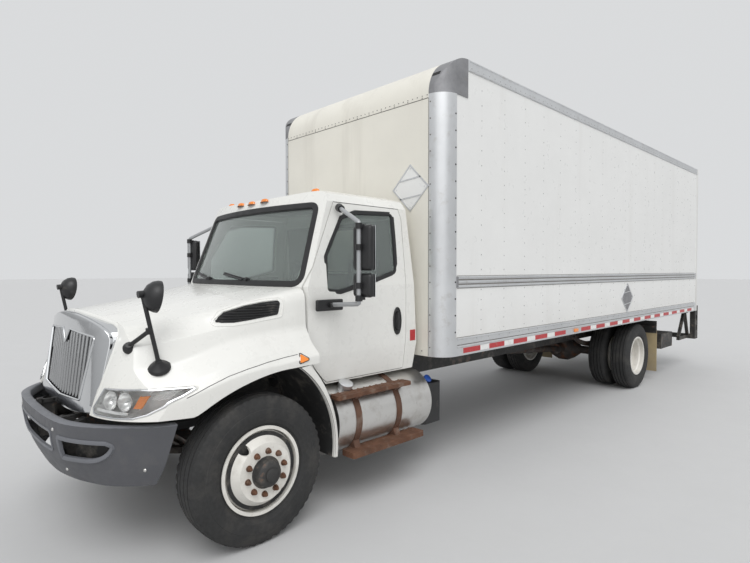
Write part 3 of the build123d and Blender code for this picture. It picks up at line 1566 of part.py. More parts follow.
with BuildPart() as door_mirror_left:
    for first, last in (
        ((tube_x, tube_station, 1625), (tube_x, tube_station, 2222)),
        ((tube_x, tube_station, 2222), (930, 850, 2398)),
        ((tube_x, tube_station, 1625), (1040, 670, 1600)),
    ):
        add(rod(first, last, 12))
    for point in ((tube_x, tube_station, 2222), (tube_x, tube_station, 1625)):
        with Locations((point[0], row(point[1]), point[2])):
            Sphere(12)
    with BuildSketch(side_plane(cab_half)):
        with Locations((row(672), 1600)):
            RectangleRounded(278, 56, 20)
    extrude(amount=52)
    for low, high in mirror_heads:
        with BuildSketch(front_plane(tube_station + 8)):
            with Locations((tube_x, (low + high) / 2)):
                RectangleRounded(210, high - low, 28)
        extrude(amount=-70)
    add(cab_outer, mode=Mode.SUBTRACT)
door_mirror_left.part.label = "door_mirror_left"
export_step(door_mirror_left.part, "parts/door_mirror_left.step")

# Mirrored pieces
with BuildPart() as hood_mirrors:
    add(hood_mirror_left.part)
    mirror(hood_mirror_left.part, about=Plane.YZ)
hood_mirrors.part.label = "hood_mirrors"
export_step(hood_mirrors.part, "parts/hood_mirrors.step")

with BuildPart() as tyre_front_right:
    mirror(tyre_front_left.part, about=Plane.YZ)
tyre_front_right.part.label = "tyre_front_right"
export_step(tyre_front_right.part, "parts/tyre_front_right.step")

with BuildPart() as wheel_front_right:
    mirror(wheel_front_left.part, about=Plane.YZ)
wheel_front_right.part.label = "wheel_front_right"
export_step(wheel_front_right.part, "parts/wheel_front_right.step")

with BuildPart() as tyres_rear_right:
    mirror(tyres_rear_left.part, about=Plane.YZ)
tyres_rear_right.part.label = "tyres_rear_right"
export_step(tyres_rear_right.part, "parts/tyres_rear_right.step")

with BuildPart() as wheels_rear_right:
    mirror(wheels_rear_left.part, about=Plane.YZ)
wheels_rear_right.part.label = "wheels_rear_right"
export_step(wheels_rear_right.part, "parts/wheels_rear_right.step")

with BuildPart() as knuckle_right:
    mirror(knuckle_left.part, about=Plane.YZ)
knuckle_right.part.label = "knuckle_right"
export_step(knuckle_right.part, "parts/knuckle_right.step")

with BuildPart() as door_right:
    mirror(door_left.part, about=Plane.YZ)
door_right.part.label = "door_right"
export_step(door_right.part, "parts/door_right.step")

with BuildPart() as door_glass_right:
    mirror(door_glass_left.part, about=Plane.YZ)
door_glass_right.part.label = "door_glass_right"
export_step(door_glass_right.part, "parts/door_glass_right.step")

with BuildPart() as door_mirror_right:
    mirror(door_mirror_left.part, about=Plane.YZ)
door_mirror_right.part.label = "door_mirror_right"
export_step(door_mirror_right.part, "parts/door_mirror_right.step")
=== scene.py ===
"""Looks for the box truck: materials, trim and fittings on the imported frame.

Metres in the frame, but places are written in millimetres as (x, station, height), stations counted
rearward from the front axle as in the part's source. place() turns them into the frame.
"""

import json
import math

import bmesh
import bpy
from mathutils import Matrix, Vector
from mathutils.bvhtree import BVHTree
from mathutils.geometry import delaunay_2d_cdt

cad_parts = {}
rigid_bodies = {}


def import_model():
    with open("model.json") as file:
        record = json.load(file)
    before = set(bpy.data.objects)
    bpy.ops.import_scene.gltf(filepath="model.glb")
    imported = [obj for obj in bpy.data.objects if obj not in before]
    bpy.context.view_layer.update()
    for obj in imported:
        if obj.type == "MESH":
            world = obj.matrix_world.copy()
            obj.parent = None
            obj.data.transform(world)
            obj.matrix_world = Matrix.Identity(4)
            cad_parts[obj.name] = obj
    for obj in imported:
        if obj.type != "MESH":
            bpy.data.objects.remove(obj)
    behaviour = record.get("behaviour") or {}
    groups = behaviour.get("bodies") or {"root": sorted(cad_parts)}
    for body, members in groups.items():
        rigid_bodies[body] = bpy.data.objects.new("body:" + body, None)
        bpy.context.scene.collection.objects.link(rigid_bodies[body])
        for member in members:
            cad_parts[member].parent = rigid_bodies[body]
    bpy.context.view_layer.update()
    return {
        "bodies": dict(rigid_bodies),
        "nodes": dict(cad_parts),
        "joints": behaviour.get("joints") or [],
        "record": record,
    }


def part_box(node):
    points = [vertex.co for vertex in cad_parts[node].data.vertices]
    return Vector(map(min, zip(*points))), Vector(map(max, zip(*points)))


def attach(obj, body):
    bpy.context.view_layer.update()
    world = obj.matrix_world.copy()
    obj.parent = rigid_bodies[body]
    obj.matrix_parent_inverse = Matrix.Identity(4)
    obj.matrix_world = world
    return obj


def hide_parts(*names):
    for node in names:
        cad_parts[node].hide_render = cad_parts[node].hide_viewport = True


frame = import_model()
nodes = frame["nodes"]
tyre_low, tyre_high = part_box("tyre_front_left")
axle_y = (tyre_low.y + tyre_high.y) / 2
SIDES = (("left", 1), ("right", -1))
ACROSS, REARWARD, UPWARD = Vector((1, 0, 0)), Vector((0, 1, 0)), Vector((0, 0, 1))


def place(x, station, height):
    return Vector((x / 1000, axle_y + station / 1000, height / 1000))


# Shapes


class Shape:
    """Vertices and faces gathered in the frame before they become one piece."""

    def __init__(self):
        self.verts = []
        self.faces = []

    def add(self, verts, faces):
        base = len(self.verts)
        self.verts.extend(verts)
        self.faces.extend([tuple(base + i for i in face) for face in faces])

    def prism(self, outline, along):
        """Closed prism: an outline of points carried along a vector."""
        count = len(outline)
        verts = list(outline) + [p + along for p in outline]
        faces = [tuple(reversed(range(count))), tuple(range(count, 2 * count))]
        faces += [(i, (i + 1) % count, count + (i + 1) % count, count + i) for i in range(count)]
        self.add(verts, faces)

    def slab(self, low, high):
        x0, y0, z0 = low
        x1, y1, z1 = high
        self.prism([Vector((x0, y0, z0)), Vector((x1, y0, z0)), Vector((x1, y1, z0)), Vector((x0, y1, z0))],
                   Vector((0, 0, z1 - z0)))

    def lathe(self, profile, centre, axis, steps=32):
        """Turns (along, radius) points about an axis through centre."""
        axis = axis.normalized()
        side = axis.orthogonal().normalized()
        up = axis.cross(side)
        rows = []
        for k in range(steps):
            angle = 2 * math.pi * k / steps
            out = side * math.cos(angle) + up * math.sin(angle)
            rows.append([centre + axis * a + out * r for a, r in profile])
        self.grid(rows, True)

    def dome(self, centre, axis, radius, height, sides=8):
        """A rivet or screw head: a low faceted dome."""
        axis = axis.normalized()
        side = axis.orthogonal().normalized()
        up = axis.cross(side)
        verts = []
        for r, h in ((radius, 0.0), (radius * 0.72, height * 0.75)):
            for k in range(sides):
                angle = 2 * math.pi * k / sides
                verts.append(centre + (side * math.cos(angle) + up * math.sin(angle)) * r + axis * h)
        verts.append(centre + axis * height)
        faces = [(k, (k + 1) % sides, sides + (k + 1) % sides, sides + k) for k in range(sides)]
        faces += [(sides + k, sides + (k + 1) % sides, 2 * sides) for k in range(sides)]
        self.add(verts, faces)

    def tube(self, path, radius, sides=12):
        turns = [2 * math.pi * k / sides for k in range(sides)]
        self.sweep(path, [(radius * math.cos(turn), radius * math.sin(turn)) for turn in turns])

    def sweep(self, path, profile, closed=False, normals=None):
        """Carries a closed (across, out) profile along a path; normals, one or one a point, point out."""
        count = len(path)
        if isinstance(normals, Vector):
            normals = [normals] * count
        rows = []
        out = None
        for i, point in enumerate(path):
            before = path[i - 1] if i or closed else path[i]
            after = path[(i + 1) % count] if i + 1 < count or closed else path[i]
            tangent = (after - before).normalized()
            if normals is not None:
                out = normals[i]
            elif out is None:
                out = tangent.orthogonal()
            out = (out - tangent * out.dot(tangent)).normalized()
            across = tangent.cross(out)
            rows.append([point + across * a + out * b for a, b in profile])
        self.grid(rows, closed, True, () if closed else (0, -1))

    def grid(self, rows, round_rows=False, round_columns=False, caps=()):
        """Quads over rows of points, joined end to end where round, with caps on the rows listed."""
        tall, wide = len(rows), len(rows[0])
        faces = [(r * wide + c, (r + 1) % tall * wide + c, (r + 1) % tall * wide + (c + 1) % wide,
                  r * wide + (c + 1) % wide)
                 for r in range(tall - (not round_rows)) for c in range(wide - (not round_columns))]
        faces += [tuple(range(r % tall * wide, (r % tall + 1) * wide)) for r in caps]
        self.add([p for row in rows for p in row], faces)

    def onto(self, sign):
        """Moves a shape made on the left to the side of the sign."""
        if sign < 0:
            self.verts = [Vector((-v.x, v.y, v.z)) for v in self.verts]

    def mirrored(self):
        """Adds the same shape on the other side of the truck."""
        self.add([Vector((-v.x, v.y, v.z)) for v in self.verts], [tuple(reversed(f)) for f in self.faces])
        return self

    def piece(self, name, material, body="chassis", bevel=0.0, smooth=30, segments=2):
        thing = linked(name, self, material)
        shade(thing, smooth)
        if bevel:
            edge = thing.modifiers.new("Bevel", "BEVEL")
            edge.width = bevel
            edge.segments = segments
            edge.limit_method = "ANGLE"
        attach(thing, body)
        return thing


def linked(name, shape, material=None, merge=0.0, outward=None):
    """A new object with the shape's mesh, its normals made even and turned towards outward."""
    mesh = bpy.data.meshes.new(name)
    mesh.from_pydata(shape.verts, [], shape.faces)
    work = bmesh.new()
    work.from_mesh(mesh)
    if merge:
        bmesh.ops.remove_doubles(work, verts=work.verts, dist=merge)
    bmesh.ops.recalc_face_normals(work, faces=work.faces)
    if outward is not None:
        facing = sum((f.normal * f.calc_area() for f in work.faces), Vector((0, 0, 0))).dot(outward)
        if facing < 0:
            bmesh.ops.reverse_faces(work, faces=work.faces)
    work.to_mesh(mesh)
    work.free()
    if material:
        mesh.materials.append(material)
    thing = bpy.data.objects.new(name, mesh)
    bpy.context.scene.collection.objects.link(thing)
    return thing


def shade(thing, angle):
    """Smooth shading with edges sharper than an angle kept crisp."""
    mesh = thing.data
    mesh.polygons.foreach_set("use_smooth", [True] * len(mesh.polygons))
    mesh.set_sharp_from_angle(angle=math.radians(angle))


def flat_bar(half, back, front):
    """Profile of a flat strip for a sweep, or of a closed drum for a lathe."""
    return [(-half, back), (-half, front), (half, front), (half, back)]


def raised_bar(half, back, top_half, front):
    """Profile of a strip with slanted sides, for a sweep."""
    return [(-half, back), (-top_half, front), (top_half, front), (half, back)]


def bead(half, sink, shoulder, side, rise):
    """Profile of a half-round bead, for a sweep."""
    return [(-half, -sink), (-shoulder, side), (0, rise), (shoulder, side), (half, -sink)]


def shapes(count):
    return [Shape() for _ in range(count)]


def rounded(points, radius, steps=5):
    """A closed 2D outline with its corners rounded."""
    result = []
    count = len(points)
    for i, point in enumerate(points):
        here = Vector(point)
        back = (Vector(points[i - 1]) - here).normalized()
        ahead = (Vector(points[(i + 1) % count]) - here).normalized()
        half = math.acos(max(-1.0, min(1.0, back.dot(ahead)))) / 2
        reach = radius / math.tan(half)
        centre = here + (back + ahead).normalized() * (radius / math.sin(half))
        first = here + back * reach - centre
        last = here + ahead * reach - centre
        turn = math.atan2(first.x * last.y - first.y * last.x, first.dot(last))
        base = math.atan2(first.y, first.x)
        for k in range(steps + 1):
            angle = base + turn * k / steps
            result.append((centre.x + radius * math.cos(angle), centre.y + radius * math.sin(angle)))
    return result


def dense(points, longest, closed=True):
    """The same outline with no run longer than a given length."""
    result = []
    count = len(points)
    for i in range(count if closed else count - 1):
        here = Vector(points[i])
        ahead = Vector(points[(i + 1) % count])
        parts = max(1, math.ceil((ahead - here).length / longest))
        result.extend([tuple(here.lerp(ahead, k / parts)) for k in range(parts)])
    if not closed:
        result.append(tuple(points[-1]))
    return result


trees = {}


def surface(names, origin, direction):
    """Where a ray first meets any of the named CAD nodes, and the normal there facing the ray."""
    best = None
    for name in names:
        if name not in trees:
            trees[name] = BVHTree.FromPolygons([v.co for v in nodes[name].data.vertices],
                                               [p.vertices[:] for p in nodes[name].data.polygons])
        spot, normal, _, reach = trees[name].ray_cast(origin, direction)
        if spot is not None and (best is None or reach < best[2]):
            best = (spot, normal if normal.dot(direction) < 0 else -normal, reach)
    return best


def draped(names, outline, view):
    """Lays a side (station, z) or front (x, z) outline, in millimetres, onto CAD surfaces."""
    spots = []
    normals = []
    for a, z in outline:
        if view == "side":
            origin, direction = place(1700, a, z), -ACROSS
        elif view == "front":
            origin, direction = place(a, -1500, z), REARWARD
        else:
            origin, direction = place(a, 2600, z), -REARWARD
        hit = surface(names, origin, direction)
        if hit is None:
            continue
        spots.append(hit[0])
        normals.append(hit[1])
    return spots, normals


# Materials


def node(tree, kind, inputs, **settings):
    """A new shader node with its inputs set, or linked where the value is another node's socket."""
    made = tree.nodes.new("ShaderNode" + kind)
    for key, value in settings.items():
        setattr(made, key, value)
    for key, value in inputs.items():
        if isinstance(value, bpy.types.NodeSocket):
            tree.links.new(value, made.inputs[key])
        else:
            made.inputs[key].default_value = value
    return made


def mix_colour(tree, factor, first, second):
    first, second = [(*c, 1.0) if isinstance(c, tuple) else c for c in (first, second)]
    return node(tree, "Mix", {"Factor": factor, 6: first, 7: second}, data_type="RGBA").outputs[2]


def noise(tree, scale, detail=4.0, stretch=(1, 1, 1), roughness=0.55):
    where = node(tree, "TexCoord", {}).outputs["Object"]
    mapped = node(tree, "Mapping", {"Scale": stretch, "Vector": where}).outputs["Vector"]
    return node(tree, "TexNoise", {"Scale": scale, "Detail": detail, "Roughness": roughness,
                                   "Vector": mapped}).outputs["Fac"]


def span(tree, value, low, high, out_low=0.0, out_high=1.0):
    return node(tree, "MapRange", {"From Min": low, "From Max": high, "To Min": out_low, "To Max": out_high,
                                   "Value": value}).outputs["Result"]


def times(tree, first, second):
    return node(tree, "Math", {0: first, 1: second}, operation="MULTIPLY").outputs[0]


def height_fade(tree, clean, dirty):
    """1 at the dirty height, 0 at the clean height, in metres above the ground."""
    where = node(tree, "TexCoord", {}).outputs["Object"]
    return span(tree, node(tree, "SeparateXYZ", {0: where}).outputs["Z"], clean, dirty)


def finish(name, colour, rough, metal=0.0, vary=0.06, vary_scale=2.0, spots=(), grain=0.0, grain_scale=300.0,
           stretch=(1, 1, 1), coat=0.0, grime=None, rough_vary=0.08):
    """A procedural material: tone variation, layers of spots, grime that grows downward, and grain.

    Each of spots is (colour, noise scale, threshold, softness, strength) and may end with a stretch.
    """
    material = bpy.data.materials.new(name)
    material.use_nodes = True
    tree = material.node_tree
    shader = tree.nodes["Principled BSDF"]
    shader.inputs["Metallic"].default_value = metal
    shader.inputs["Coat Weight"].default_value = coat
    shader.inputs["Coat Roughness"].default_value = 0.08
    tone = span(tree, noise(tree, vary_scale, stretch=stretch), 0.3, 0.7)
    dark = tuple(c * (1 - vary) for c in colour)
    light = tuple(min(1.0, c * (1 + vary)) for c in colour)
    paint = mix_colour(tree, tone, dark, light)
    for spot_colour, scale, threshold, soft, strength, *spot_stretch in spots:
        dots = noise(tree, scale, 6.0, *(spot_stretch or [(1, 1, 1)]), 0.65)
        mask = span(tree, dots, threshold, threshold + soft, 0.0, strength)
        paint = mix_colour(tree, mask, paint, spot_colour)
    if grime:
        grime_colour, clean, dirty, strength = grime
        patches = span(tree, noise(tree, 3.0, 6.0), 0.25, 0.75, 0.3, 1.0)
        mask = times(tree, height_fade(tree, clean, dirty), patches)
        paint = mix_colour(tree, times(tree, mask, strength), paint, grime_colour)
    tree.links.new(paint, shader.inputs["Base Color"])
    tree.links.new(span(tree, noise(tree, vary_scale * 6), 0.3, 0.7, max(0.03, rough - rough_vary),
                        min(1.0, rough + rough_vary)), shader.inputs["Roughness"])
    if grain:
        bump = node(tree, "Bump", {"Strength": grain, "Distance": 0.0008,
                                   "Height": noise(tree, grain_scale, 3.0, stretch)})
        tree.links.new(bump.outputs["Normal"], shader.inputs["Normal"])
    return material


def clear(name, colour, rough=0.02, transmission=1.0):
    """Glass or a lens: tinted, with faint smears in its gloss."""
    material = bpy.data.materials.new(name)
    material.use_nodes = True
    tree = material.node_tree
    shader = tree.nodes["Principled BSDF"]
    shader.inputs["Transmission Weight"].default_value = transmission
    shader.inputs["IOR"].default_value = 1.45
    tone = span(tree, noise(tree, 1.5), 0.3, 0.7)
    paint = mix_colour(tree, tone, tuple(c * 0.94 for c in colour), colour)
    tree.links.new(paint, shader.inputs["Base Color"])
    tree.links.new(span(tree, noise(tree, 9.0), 0.3, 0.7, rough, rough + 0.03), shader.inputs["Roughness"])
    return material


DUST = (0.36, 0.32, 0.27)
RUST = (0.20, 0.075, 0.03)
DEEP_RUST = (0.10, 0.04, 0.02)
streak = (1, 1, 0.08)

cab_paint = finish("cab_paint", (0.78, 0.775, 0.74), 0.28, vary=0.02, coat=0.35, grain=0.012,
                   grain_scale=60, rough_vary=0.015, spots=((DUST, 14, 0.70, 0.10, 0.04),
                   (DUST, 5, 0.56, 0.2, 0.10, streak)), grime=(DUST, 1.25, 0.85, 0.30))
panel_paint = finish("panel_paint", (0.80, 0.80, 0.785), 0.34, vary=0.02, grain=0.05, grain_scale=40,
                     spots=((DUST, 4, 0.55, 0.2, 0.10, streak), (DUST, 30, 0.72, 0.06, 0.16)),
                     grime=(DUST, 1.6, 1.1, 0.25))
front_paint = finish("front_paint", (0.78, 0.755, 0.68), 0.4, vary=0.03, grain=0.06, grain_scale=40,
                     spots=(((0.25, 0.20, 0.14), 55, 0.70, 0.05, 0.5), (DUST, 4, 0.52, 0.2, 0.18, streak)))
frame_paint = finish("frame_paint", (0.72, 0.72, 0.70), 0.4, vary=0.03, grain=0.05,
                     spots=((RUST, 18, 0.70, 0.05, 0.6),), grime=(DUST, 1.8, 1.1, 0.3))
wheel_paint = finish("wheel_paint", (0.74, 0.72, 0.67), 0.42, vary=0.05, vary_scale=6, grain=0.1,
                     grain_scale=120, spots=((RUST, 26, 0.67, 0.06, 0.55), (DUST, 8, 0.5, 0.2, 0.35)))
chassis_paint = finish("chassis_paint", (0.035, 0.034, 0.033), 0.6, vary=0.2, vary_scale=5, grain=0.2,
                       grain_scale=90, spots=((RUST, 12, 0.60, 0.12, 0.7), (DUST, 6, 0.5, 0.25, 0.35)))
rusty = finish("rusty", (0.12, 0.055, 0.03), 0.8, vary=0.3, vary_scale=12, grain=0.5, grain_scale=160,
               spots=((DEEP_RUST, 20, 0.5, 0.15, 0.8), (DUST, 9, 0.55, 0.2, 0.5)))
iron = finish("iron", (0.085, 0.075, 0.07), 0.7, metal=0.3, vary=0.2, vary_scale=8, grain=0.4,
              grain_scale=120, spots=((RUST, 10, 0.52, 0.15, 0.8), (DUST, 7, 0.5, 0.25, 0.4)))
engine_finish = finish("engine_finish", (0.09, 0.09, 0.095), 0.6, metal=0.2, vary=0.2, grain=0.3,
                       grain_scale=100)
exhaust_finish = finish("exhaust_finish", (0.30, 0.28, 0.26), 0.45, metal=0.9, vary=0.15, vary_scale=5,
                        spots=((RUST, 7, 0.5, 0.2, 0.7),))
bar_chrome = finish("bar_chrome", (0.42, 0.425, 0.43), 0.14, metal=1.0, vary=0.08, rough_vary=0.05)
chrome = finish("chrome", (0.68, 0.69, 0.70), 0.08, metal=1.0, vary=0.04, rough_vary=0.04,
                spots=(((0.30, 0.30, 0.30), 40, 0.68, 0.08, 0.25),))
tank_metal = finish("tank_metal", (0.66, 0.65, 0.63), 0.36, metal=0.95, vary=0.10, vary_scale=3, grain=0.15,
                    grain_scale=220, stretch=(1, 0.12, 1),
                    spots=((DUST, 6, 0.5, 0.2, 0.45), ((0.2, 0.19, 0.18), 22, 0.64, 0.1, 0.4)))
rail_metal = finish("rail_metal", (0.68, 0.69, 0.70), 0.40, metal=0.85, vary=0.07, vary_scale=2, grain=0.1,
                    grain_scale=200, spots=((DUST, 10, 0.56, 0.2, 0.35),))
cap_metal = finish("cap_metal", (0.30, 0.30, 0.31), 0.55, metal=0.7, vary=0.15, vary_scale=7, grain=0.35,
                   grain_scale=140, spots=((DUST, 12, 0.6, 0.15, 0.4),))
bumper_plastic = finish("bumper_plastic", (0.095, 0.097, 0.106), 0.55, vary=0.06, vary_scale=3, grain=0.35,
                        grain_scale=420, spots=((DUST, 7, 0.55, 0.25, 0.10), (RUST, 40, 0.73, 0.03, 0.5)))
ledge_plastic = finish("ledge_plastic", (0.15, 0.155, 0.17), 0.45, vary=0.1, grain=0.3, grain_scale=420)
black_plastic = finish("black_plastic", (0.016, 0.016, 0.017), 0.42, vary=0.2, grain=0.15, grain_scale=300,
                       spots=((DUST, 12, 0.62, 0.15, 0.2),))
dull_black = finish("dull_black", (0.02, 0.02, 0.02), 0.75, vary=0.2, grain=0.3, grain_scale=200,
                    spots=((DUST, 8, 0.52, 0.25, 0.4),))
gasket = finish("gasket", (0.018, 0.018, 0.019), 0.55, vary=0.2, grain=0.1)
tyre_rubber = finish("tyre_rubber", (0.026, 0.026, 0.026), 0.78, vary=0.10, vary_scale=8, grain=0.3,
                     grain_scale=240, spots=((DUST, 5, 0.50, 0.3, 0.10),))
dash_plastic = finish("dash_plastic", (0.10, 0.10, 0.105), 0.6, vary=0.1, grain=0.3, grain_scale=500)
seat_cloth = finish("seat_cloth", (0.15, 0.15, 0.17), 0.9, vary=0.15, vary_scale=12, grain=0.6,
                    grain_scale=900)
flap_rubber = finish("flap_rubber", (0.45, 0.36, 0.21), 0.7, vary=0.1, vary_scale=4, grain=0.2,
                     spots=((DUST, 7, 0.5, 0.2, 0.5),), grime=((0.20, 0.17, 0.13), 0.6, 0.1, 0.6))
strap_finish = finish("strap_finish", (0.11, 0.055, 0.035), 0.75, vary=0.25, vary_scale=10, grain=0.4,
                      grain_scale=150, spots=((DEEP_RUST, 16, 0.52, 0.15, 0.8), (DUST, 9, 0.55, 0.2, 0.5)))
window = clear("window", (0.66, 0.73, 0.70), 0.01, 0.86)
lens_clear = clear("lens_clear", (0.96, 0.97, 0.97), 0.01)
bowl_chrome = finish("bowl_chrome", (0.93, 0.93, 0.92), 0.24, metal=0.55, vary=0.04, rough_vary=0.04)
rivet_metal = finish("rivet_metal", (0.42, 0.42, 0.42), 0.45, metal=0.6, vary=0.2, vary_scale=20)
tube_grey = finish("tube_grey", (0.42, 0.43, 0.44), 0.42, metal=0.5, vary=0.08)
lining_grey = finish("lining_grey", (0.20, 0.205, 0.205), 0.8, vary=0.1, vary_scale=8, grain=0.3,
                     grain_scale=300)
rivet_dark = finish("rivet_dark", (0.13, 0.12, 0.11), 0.6, vary=0.2, vary_scale=20)
groove_tone = finish("groove_tone", (0.16, 0.15, 0.14), 0.7, vary=0.2, vary_scale=10)
mirror_glass = finish("mirror_glass", (0.86, 0.88, 0.90), 0.04, metal=1.0, vary=0.02, rough_vary=0.02)
lens_amber = finish("lens_amber", (0.90, 0.26, 0.03), 0.15, vary=0.1, coat=0.6)
lens_red = finish("lens_red", (0.55, 0.02, 0.015), 0.15, vary=0.1, coat=0.6)
tape_red = finish("tape_red", (0.46, 0.03, 0.035), 0.35, vary=0.1, vary_scale=30,
                  spots=((DUST, 14, 0.6, 0.15, 0.4),))
tape_white = finish("tape_white", (0.78, 0.78, 0.76), 0.35, vary=0.06, vary_scale=30,
                    spots=((DUST, 14, 0.56, 0.15, 0.4),))
blue_plastic = finish("blue_plastic", (0.03, 0.10, 0.42), 0.4, vary=0.1)

node_finishes = (
    (cab_paint, "cab_shell door_left door_right hood"),
    (panel_paint, "cargo_walls rear_door"),
    (front_paint, "cargo_front"),
    (frame_paint, "rear_frame"),
    (chassis_paint, "frame_rails chassis_brackets rear_bumper liftgate_frame liftgate_arms battery_box "
                    "cargo_floor"),
    (rail_metal, "liftgate_platform side_rails corner_posts cargo_roof"),
    (engine_finish, "engine"),
    (exhaust_finish, "exhaust"),
    (dull_black, "radiator hood_frame splash_panels"),
    (iron, "front_axle rear_axle leaf_springs knuckle_left knuckle_right tie_rod propeller_shaft"),
    (chrome, "grille"),
    (lens_clear, "headlights"),
    (black_plastic, "hood_mirrors door_mirror_left door_mirror_right def_tank steering_wheel"),
    (bumper_plastic, "front_bumper"),
    (tank_metal, "fuel_tank"),
    (strap_finish, "tank_straps"),
    (rusty, "cab_steps"),
    (cap_metal, "roof_caps"),
    (flap_rubber, "mud_flaps"),
    (dash_plastic, "dashboard seat_bases"),
    (seat_cloth, "seat_cushions"),
    (window, "cab_glass door_glass_left door_glass_right"),
    (wheel_paint, "wheel_front_left wheel_front_right wheels_rear_left wheels_rear_right"),
    (tyre_rubber, "tyre_front_left tyre_front_right tyres_rear_left tyres_rear_right"),
)
finish_of = {name: material for material, names in node_finishes for name in names.split()}
for name, thing in nodes.items():
    thing.data.materials.clear()
    thing.data.materials.append(finish_of[name])


# Tyres, nuts and hubs

rear_axle = 6835
tyre_radius = 512.0
tread_half = 108.0
notch_every = 3


def tread_profile(notched):
    """Half section points (across, radius) from one bead to the other."""
    edge = tread_half - (4 if notched else 0)
    drop = 7 if notched else 0
    side = [(104, 292), (106, 306), (113, 318), (121, 322), (126, 330), (131, 346), (134, 350), (136, 368),
            (139, 380), (139.5, 398), (138, 416), (135, 420), (132, 444), (127, 462), (122, 470), (118, 486),
            (edge + 3, 497 - drop), (edge, 503 - drop)]
    half = list(side)
    for groove in (72, 26):
        crown = tyre_radius - 8 * (groove / tread_half) ** 2
        half += [(groove + 6, crown), (groove + 4, crown - 13), (groove - 4, crown - 13),
                 (groove - 6, crown)]
    return [(-a, r) for a, r in half] + [(a, r) for a, r in reversed(half)]


def tyre(name, centre_x, station, body, steps=150):
    shape = Shape()
    centre = place(centre_x, station, tyre_radius)
    rows = []
    for k in range(steps):
        angle = 2 * math.pi * k / steps
        rows.append([centre + Vector((a, r * math.cos(angle), r * math.sin(angle))) / 1000
                     for a, r in tread_profile(k % notch_every == 0)])
    shape.grid(rows, True, True)
    return shape.piece(name, tyre_rubber, body, smooth=28)


nut_circle = 285.75 / 2
front_centre, front_face = 1033, 1194
twin_centre, twin_offset, rear_face = 925, 171.5, 937


def wheel_fittings(name, face_x, sign, station, body, hub_profile, turn):
    """Ten flanged nuts with their studs, and the hub's cover."""
    nuts, hub = shapes(2)
    out = Vector((sign, 0, 0))
    centre = place(sign * face_x, station, tyre_radius)
    for k in range(10):
        angle = math.radians(36 * k + turn)
        spot = centre + Vector((0, nut_circle * math.cos(angle), nut_circle * math.sin(angle))) / 1000
        nuts.lathe([(0, 0.001), (0, 0.021), (0.004, 0.021), (0.006, 0.0175), (0.006, 0.0174)], spot, out, 20)
        nuts.lathe([(0.005, 0.001), (0.005, 0.0172), (0.022, 0.0172), (0.025, 0.0145), (0.025, 0.010)],
                   spot, out, 6)
        nuts.lathe([(0.020, 0.010), (0.033, 0.010), (0.034, 0.0085), (0.034, 0.0005)], spot, out, 14)
    nuts.piece(name + "_nuts", rusty, body, smooth=40)
    hub.lathe([(a / 1000, r / 1000) for a, r in hub_profile], centre, out, 40)
    for k in range(8):
        angle = math.radians(45 * k + 10)
        ray = Vector((0, math.cos(angle), math.sin(angle)))
        spot = centre + out * (hub_profile[1][0] / 1000) + ray * 0.077
        hub.lathe([(0, 0.001), (0, 0.0095), (0.010, 0.0095), (0.012, 0.007), (0.012, 0.0005)], spot, out, 6)
    hub.piece(name + "_hub", rusty if station else chassis_paint, body, smooth=35)


front_hub = ((0, 108), (3, 108), (6, 96), (48, 87), (68, 60), (69, 46), (80, 44), (84, 38), (84, 0.5))
rear_hub = ((0, 122), (3, 122), (6, 100), (118, 92), (131, 80), (131, 34), (134, 32), (134, 0.5))

for side, sign in SIDES:
    front, rear = f"{side}_front_wheel", f"{side}_rear_wheels"
    rubber = tyre(f"tyre_tread_front_{side}", sign * front_centre, 0, front)
    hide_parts(f"tyre_front_{side}")
    outer = tyre(f"tyre_tread_rear_outer_{side}", sign * (twin_centre + twin_offset), rear_axle, rear)
    inner = tyre(f"tyre_tread_rear_inner_{side}", sign * (twin_centre - twin_offset), rear_axle, rear)
    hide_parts(f"tyres_rear_{side}")
    wheel_fittings(f"front_{side}", front_face, sign, 0, front, front_hub, 12)
    wheel_fittings(f"rear_{side}", rear_face, sign, rear_axle, rear, rear_hub, 0)


# Beads laid on a surface


def rim_loop(shape, names, outline, view, width, rise, sink=0.002, even=0):
    """A half-round bead laid on a surface round a closed outline."""
    spots, normals = draped(names, outline, view)
    for _ in range(even):
        levels = [s.x for s in spots]
        for i, spot in enumerate(spots):
            spot.x = (levels[i - 1] + 2 * levels[i] + levels[(i + 1) % len(levels)]) / 4
    if even:
        normals = [ACROSS for _ in spots]
    for _ in range(5):
        normals = [(normals[i - 1] + normal * 2 + normals[(i + 1) % len(normals)]).normalized()
                   for i, normal in enumerate(normals)]
    shape.sweep(spots, bead(width / 2, sink, width / 2.6, rise * 0.75, rise), True, normals)


# Sheets: outlines with holes, filled with even triangles and laid on a curved face


